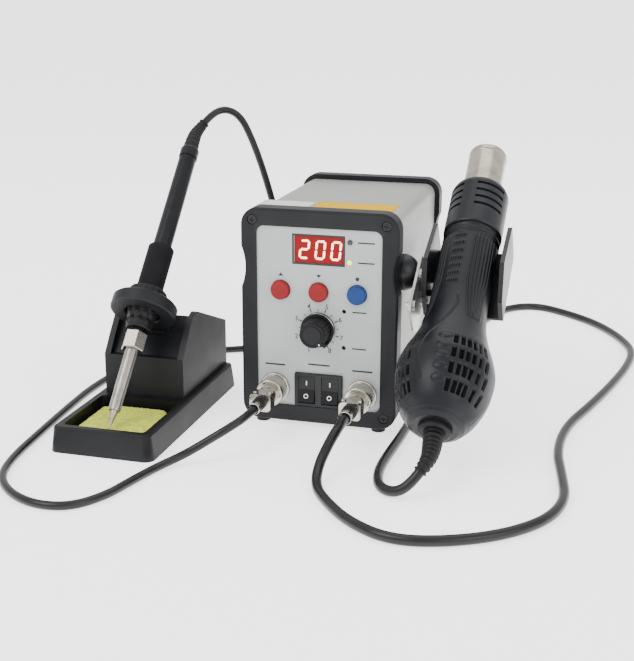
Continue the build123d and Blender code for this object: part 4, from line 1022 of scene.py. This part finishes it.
# Each ring of finger bumps: its place along the iron, how many, and its turn in bumps.
GRIP_BUMPS = ((71.8, 9, 0.0), (76.4, 10, 0.5), (81.5, 11, 0.0))
BUMP_HALF = 2.0
BUMP_HEIGHT = 0.55
GUARD = (87.9, 94.4)
NOTCH_DEPTH = 0.35


def make_iron_grip():
    """The rubber grip: a waisted sleeve with three rings of finger bumps and its guard flange."""
    fine = []
    for (a0, r0), (a1, r1) in zip(GRIP_PROFILE, GRIP_PROFILE[1:]):
        count = max(1, round(math.hypot(a1 - a0, r1 - r0) / GRIP_STEP))
        fine += [(a0 + (a1 - a0) * k / count, r0 + (r1 - r0) * k / count) for k in range(count)]
    fine.append(GRIP_PROFILE[-1])
    steps = 144
    verts = []
    for step in range(steps):
        turn = 2 * math.pi * step / steps
        spoke = X_AXIS * math.sin(turn) + iron_up * math.cos(turn)
        for along, radius in fine:
            lift = 0.0
            for ring, count, shift in GRIP_BUMPS:
                phase = (step / steps * count + shift) % 1.0 - 0.5
                across = phase * 2 * math.pi * radius / count / BUMP_HALF
                up = (along - ring) / BUMP_HALF
                lift = max(lift, BUMP_HEIGHT * max(0.0, 1 - across**2 - up**2) ** 0.5)
            if GUARD[0] < along < GUARD[1] and radius > 12.0:
                lift -= NOTCH_DEPTH * max(0.0, math.cos(turn * 18))
            verts.append(iron_tip + iron_axis * (along * MM) + spoke * ((radius + lift) * MM))
    count = len(fine)
    faces = []
    for step in range(steps):
        after = (step + 1) % steps
        for index in range(count):
            nxt = (index + 1) % count
            here = step * count
            there = after * count
            faces.append((here + index, here + nxt, there + nxt, there + index))
    made = put_mesh("iron_rubber_grip", verts, faces, soft_rubber, "iron", "soft_rubber", 40)
    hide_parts("iron_grip")


make_iron_grip()

# The barrel's shallow grooves, as thin raised bars along the steel.
barrel_spokes = (iron_up, X_AXIS)
barrel_ends = ((13.4, 3.64), (52.4, 3.87))
barrel_section = ((-0.2, 0.62), (0.16, 0.34), (0.16, -0.34), (-0.2, -0.62))
barrel_finish = (barrel_steel, "iron", "stainless", 40)
raised_bars(
    "barrel_flutes",
    12,
    iron_tip,
    iron_axis,
    barrel_spokes,
    barrel_ends,
    barrel_section,
    *barrel_finish,
)


# ---------------------------------------------------------------- strain reliefs
RELIEF_RIBS = 9.0
RELIEF_CUT = 0.75


def ribbed_relief(name, route, root, root_dir, radii, body, replaced):
    """A bent, tapered sleeve with rings, from root to the start of a cord's route."""
    end = station(*route[0])
    end_dir = (station(*route[1]) - end).normalized()
    reach = (end - root).length
    handle_a = root + root_dir * (reach * 0.45)
    handle_b = end - end_dir * (reach * 0.4)
    steps = 120
    centres = []
    for step in range(steps + 1):
        t = step / steps
        s = 1 - t
        near = root * s**3 + handle_a * (3 * s * s * t)
        centres.append(near + handle_b * (3 * s * t * t) + end * t**3)
    around = 40
    verts = []
    for step, centre in enumerate(centres):
        before = centres[max(0, step - 1)]
        after = centres[min(steps, step + 1)]
        tangent = (after - before).normalized()
        side = (X_AXIS - tangent * X_AXIS.dot(tangent)).normalized()
        other = tangent.cross(side)
        t = step / steps
        radius = radii[0] + (radii[1] - radii[0]) * t
        rib = 0.5 + 0.5 * math.cos(2 * math.pi * (t * RELIEF_RIBS))
        if 0.06 < t < 0.97:
            radius -= RELIEF_CUT * (1 - rib) ** 1.6
        for k in range(around):
            turn = 2 * math.pi * k / around
            spoke = side * math.cos(turn) + other * math.sin(turn)
            verts.append(centre + spoke * (radius * MM))
    faces = []
    for step in range(steps):
        for k in range(around):
            nxt = (k + 1) % around
            a = step * around
            faces.append((a + k, a + nxt, a + around + nxt, a + around + k))
    faces.append(tuple(range(around - 1, -1, -1)))
    last = steps * around
    faces.append(tuple(range(last, last + around)))
    made = put_mesh(name, verts, faces, soft_rubber, body, "soft_rubber", 50)
    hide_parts(replaced)


gun_root = gun_cap - gun_axis * (3 * MM)
gun_radii = (6.3, 3.9)
ribbed_relief(
    "gun_cord_relief", gun_hang_route, gun_root, -gun_axis, gun_radii, "gun", "gun_relief"
)
CAP_ROOT = [(0.0, -3.4), (8.2, -3.4), (9.6, -2.4), (9.8, -0.4), (9.6, 0.05), (0.0, 0.05)]
lathe("gun_relief_root", CAP_ROOT, gun_cap, gun_axis, soft_rubber, "gun", "soft_rubber")
iron_root = iron_tip + iron_axis * (207.5 * MM)
iron_radii = (5.3, 3.6)
ribbed_relief(
    "iron_cord_relief", iron_route, iron_root, iron_axis, iron_radii, "iron", "iron_relief"
)


# ---------------------------------------------------------------- sponge
SPONGE_INSET = 0.3 * MM
SPONGE_CORNER = 3.5 * MM
SPONGE_RIM = 0.9 * MM
SPONGE_GRID = 0.55 * MM
PORE_SIZE = 1.6 * MM
PORE_DEPTH = 1.1 * MM


def make_sponge():
    """The wiping sponge: soft ragged edges, an uneven top."""
    low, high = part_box("sponge")
    made_mesh = bpy.data.meshes.new("wiping_sponge")
    work = bmesh.new()
    bmesh.ops.create_cube(work, size=1.0)
    for vert in work.verts:
        vert.co.x = (low.x + SPONGE_INSET) if vert.co.x < 0 else (high.x - SPONGE_INSET)
        vert.co.y = (low.y + SPONGE_INSET) if vert.co.y < 0 else (high.y - SPONGE_INSET)
        vert.co.z = (low.z + 0.1 * MM) if vert.co.z < 0 else (high.z - 0.4 * MM)
    vertical = [e for e in work.edges if abs(e.verts[0].co.z - e.verts[1].co.z) > MM]
    bmesh.ops.bevel(work, geom=vertical, offset=SPONGE_CORNER, segments=5, affect="EDGES")
    top = high.z - 0.6 * MM
    rims = [e for e in work.edges if all(v.co.z > top for v in e.verts) and len(e.link_faces) == 2]
    rims = [e for e in rims if abs(e.link_faces[0].normal.z - e.link_faces[1].normal.z) > 0.5]
    bmesh.ops.bevel(work, geom=rims, offset=SPONGE_RIM, segments=3, affect="EDGES")
    work.to_mesh(made_mesh)
    work.free()
    made = add_object("wiping_sponge", made_mesh)
    remesh = made.modifiers.new("even", "REMESH")
    remesh.mode = "VOXEL"
    remesh.voxel_size = SPONGE_GRID
    texture = bpy.data.textures.new("sponge_pores", "CLOUDS")
    texture.noise_scale = PORE_SIZE
    texture.noise_depth = 3
    pores = made.modifiers.new("pores", "DISPLACE")
    pores.texture = texture
    pores.texture_coords = "LOCAL"
    pores.strength = PORE_DEPTH
    pores.mid_level = 0.62
    depsgraph = bpy.context.evaluated_depsgraph_get()
    final = bpy.data.meshes.new_from_object(made.evaluated_get(depsgraph))
    made.modifiers.clear()
    made.data = final
    for vert in final.vertices:
        vert.co.z = max(vert.co.z, low.z + 0.05 * MM)
    final.materials.clear()
    final.materials.append(sponge_cellulose)
    final.shade_smooth()
    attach(made, "station")
    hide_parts("sponge")


make_sponge()

# ---------------------------------------------------------------- floor and light
FLOOR_HALF = 40.0
floor_mesh = bpy.data.meshes.new("floor")
floor_corners = [(x, y, 0) for x, y in rectangle(0, 0, 2 * FLOOR_HALF, 2 * FLOOR_HALF)]
floor_mesh.from_pydata(floor_corners, [], [(0, 1, 2, 3)])
floor = add_object("floor", floor_mesh)
floor_finish = bpy.data.materials.new("floor_finish")
floor_finish.use_nodes = True
floor_shader = floor_finish.node_tree.nodes["Principled BSDF"]
floor_shader.inputs["Base Color"].default_value = (0.9, 0.9, 0.9, 1)
floor_shader.inputs["Emission Color"].default_value = (1.0, 1.0, 1.0, 1)
floor_shader.inputs["Emission Strength"].default_value = 1.6
floor_shader.inputs["Roughness"].default_value = 0.7
floor_shader.inputs["Specular IOR Level"].default_value = 0.2
floor_mesh.materials.append(floor_finish)

world = bpy.data.worlds.new("studio")
world.use_nodes = True
world.node_tree.nodes["Background"].inputs["Color"].default_value = (1.0, 1.0, 1.0, 1)
world.node_tree.nodes["Background"].inputs["Strength"].default_value = 1.3
bpy.context.scene.world = world


def area_light(name, place, target, size, power):
    """A soft square light aimed at a point."""
    data = bpy.data.lights.new(name, "AREA")
    data.shape = "SQUARE"
    data.size = size
    data.energy = power
    made = add_object(name, data)
    made.location = place
    made.rotation_euler = (Vector(target) - Vector(place)).to_track_quat("-Z", "Y").to_euler()


area_light("key", (-0.7, -0.9, 1.3), (0, 0, 0.05), 0.9, 14)
area_light("fill", (1.2, -0.8, 0.8), (0, 0, 0.08), 1.0, 8)
area_light("top", (0.1, 0.5, 1.5), (0, 0, 0.05), 1.2, 6)
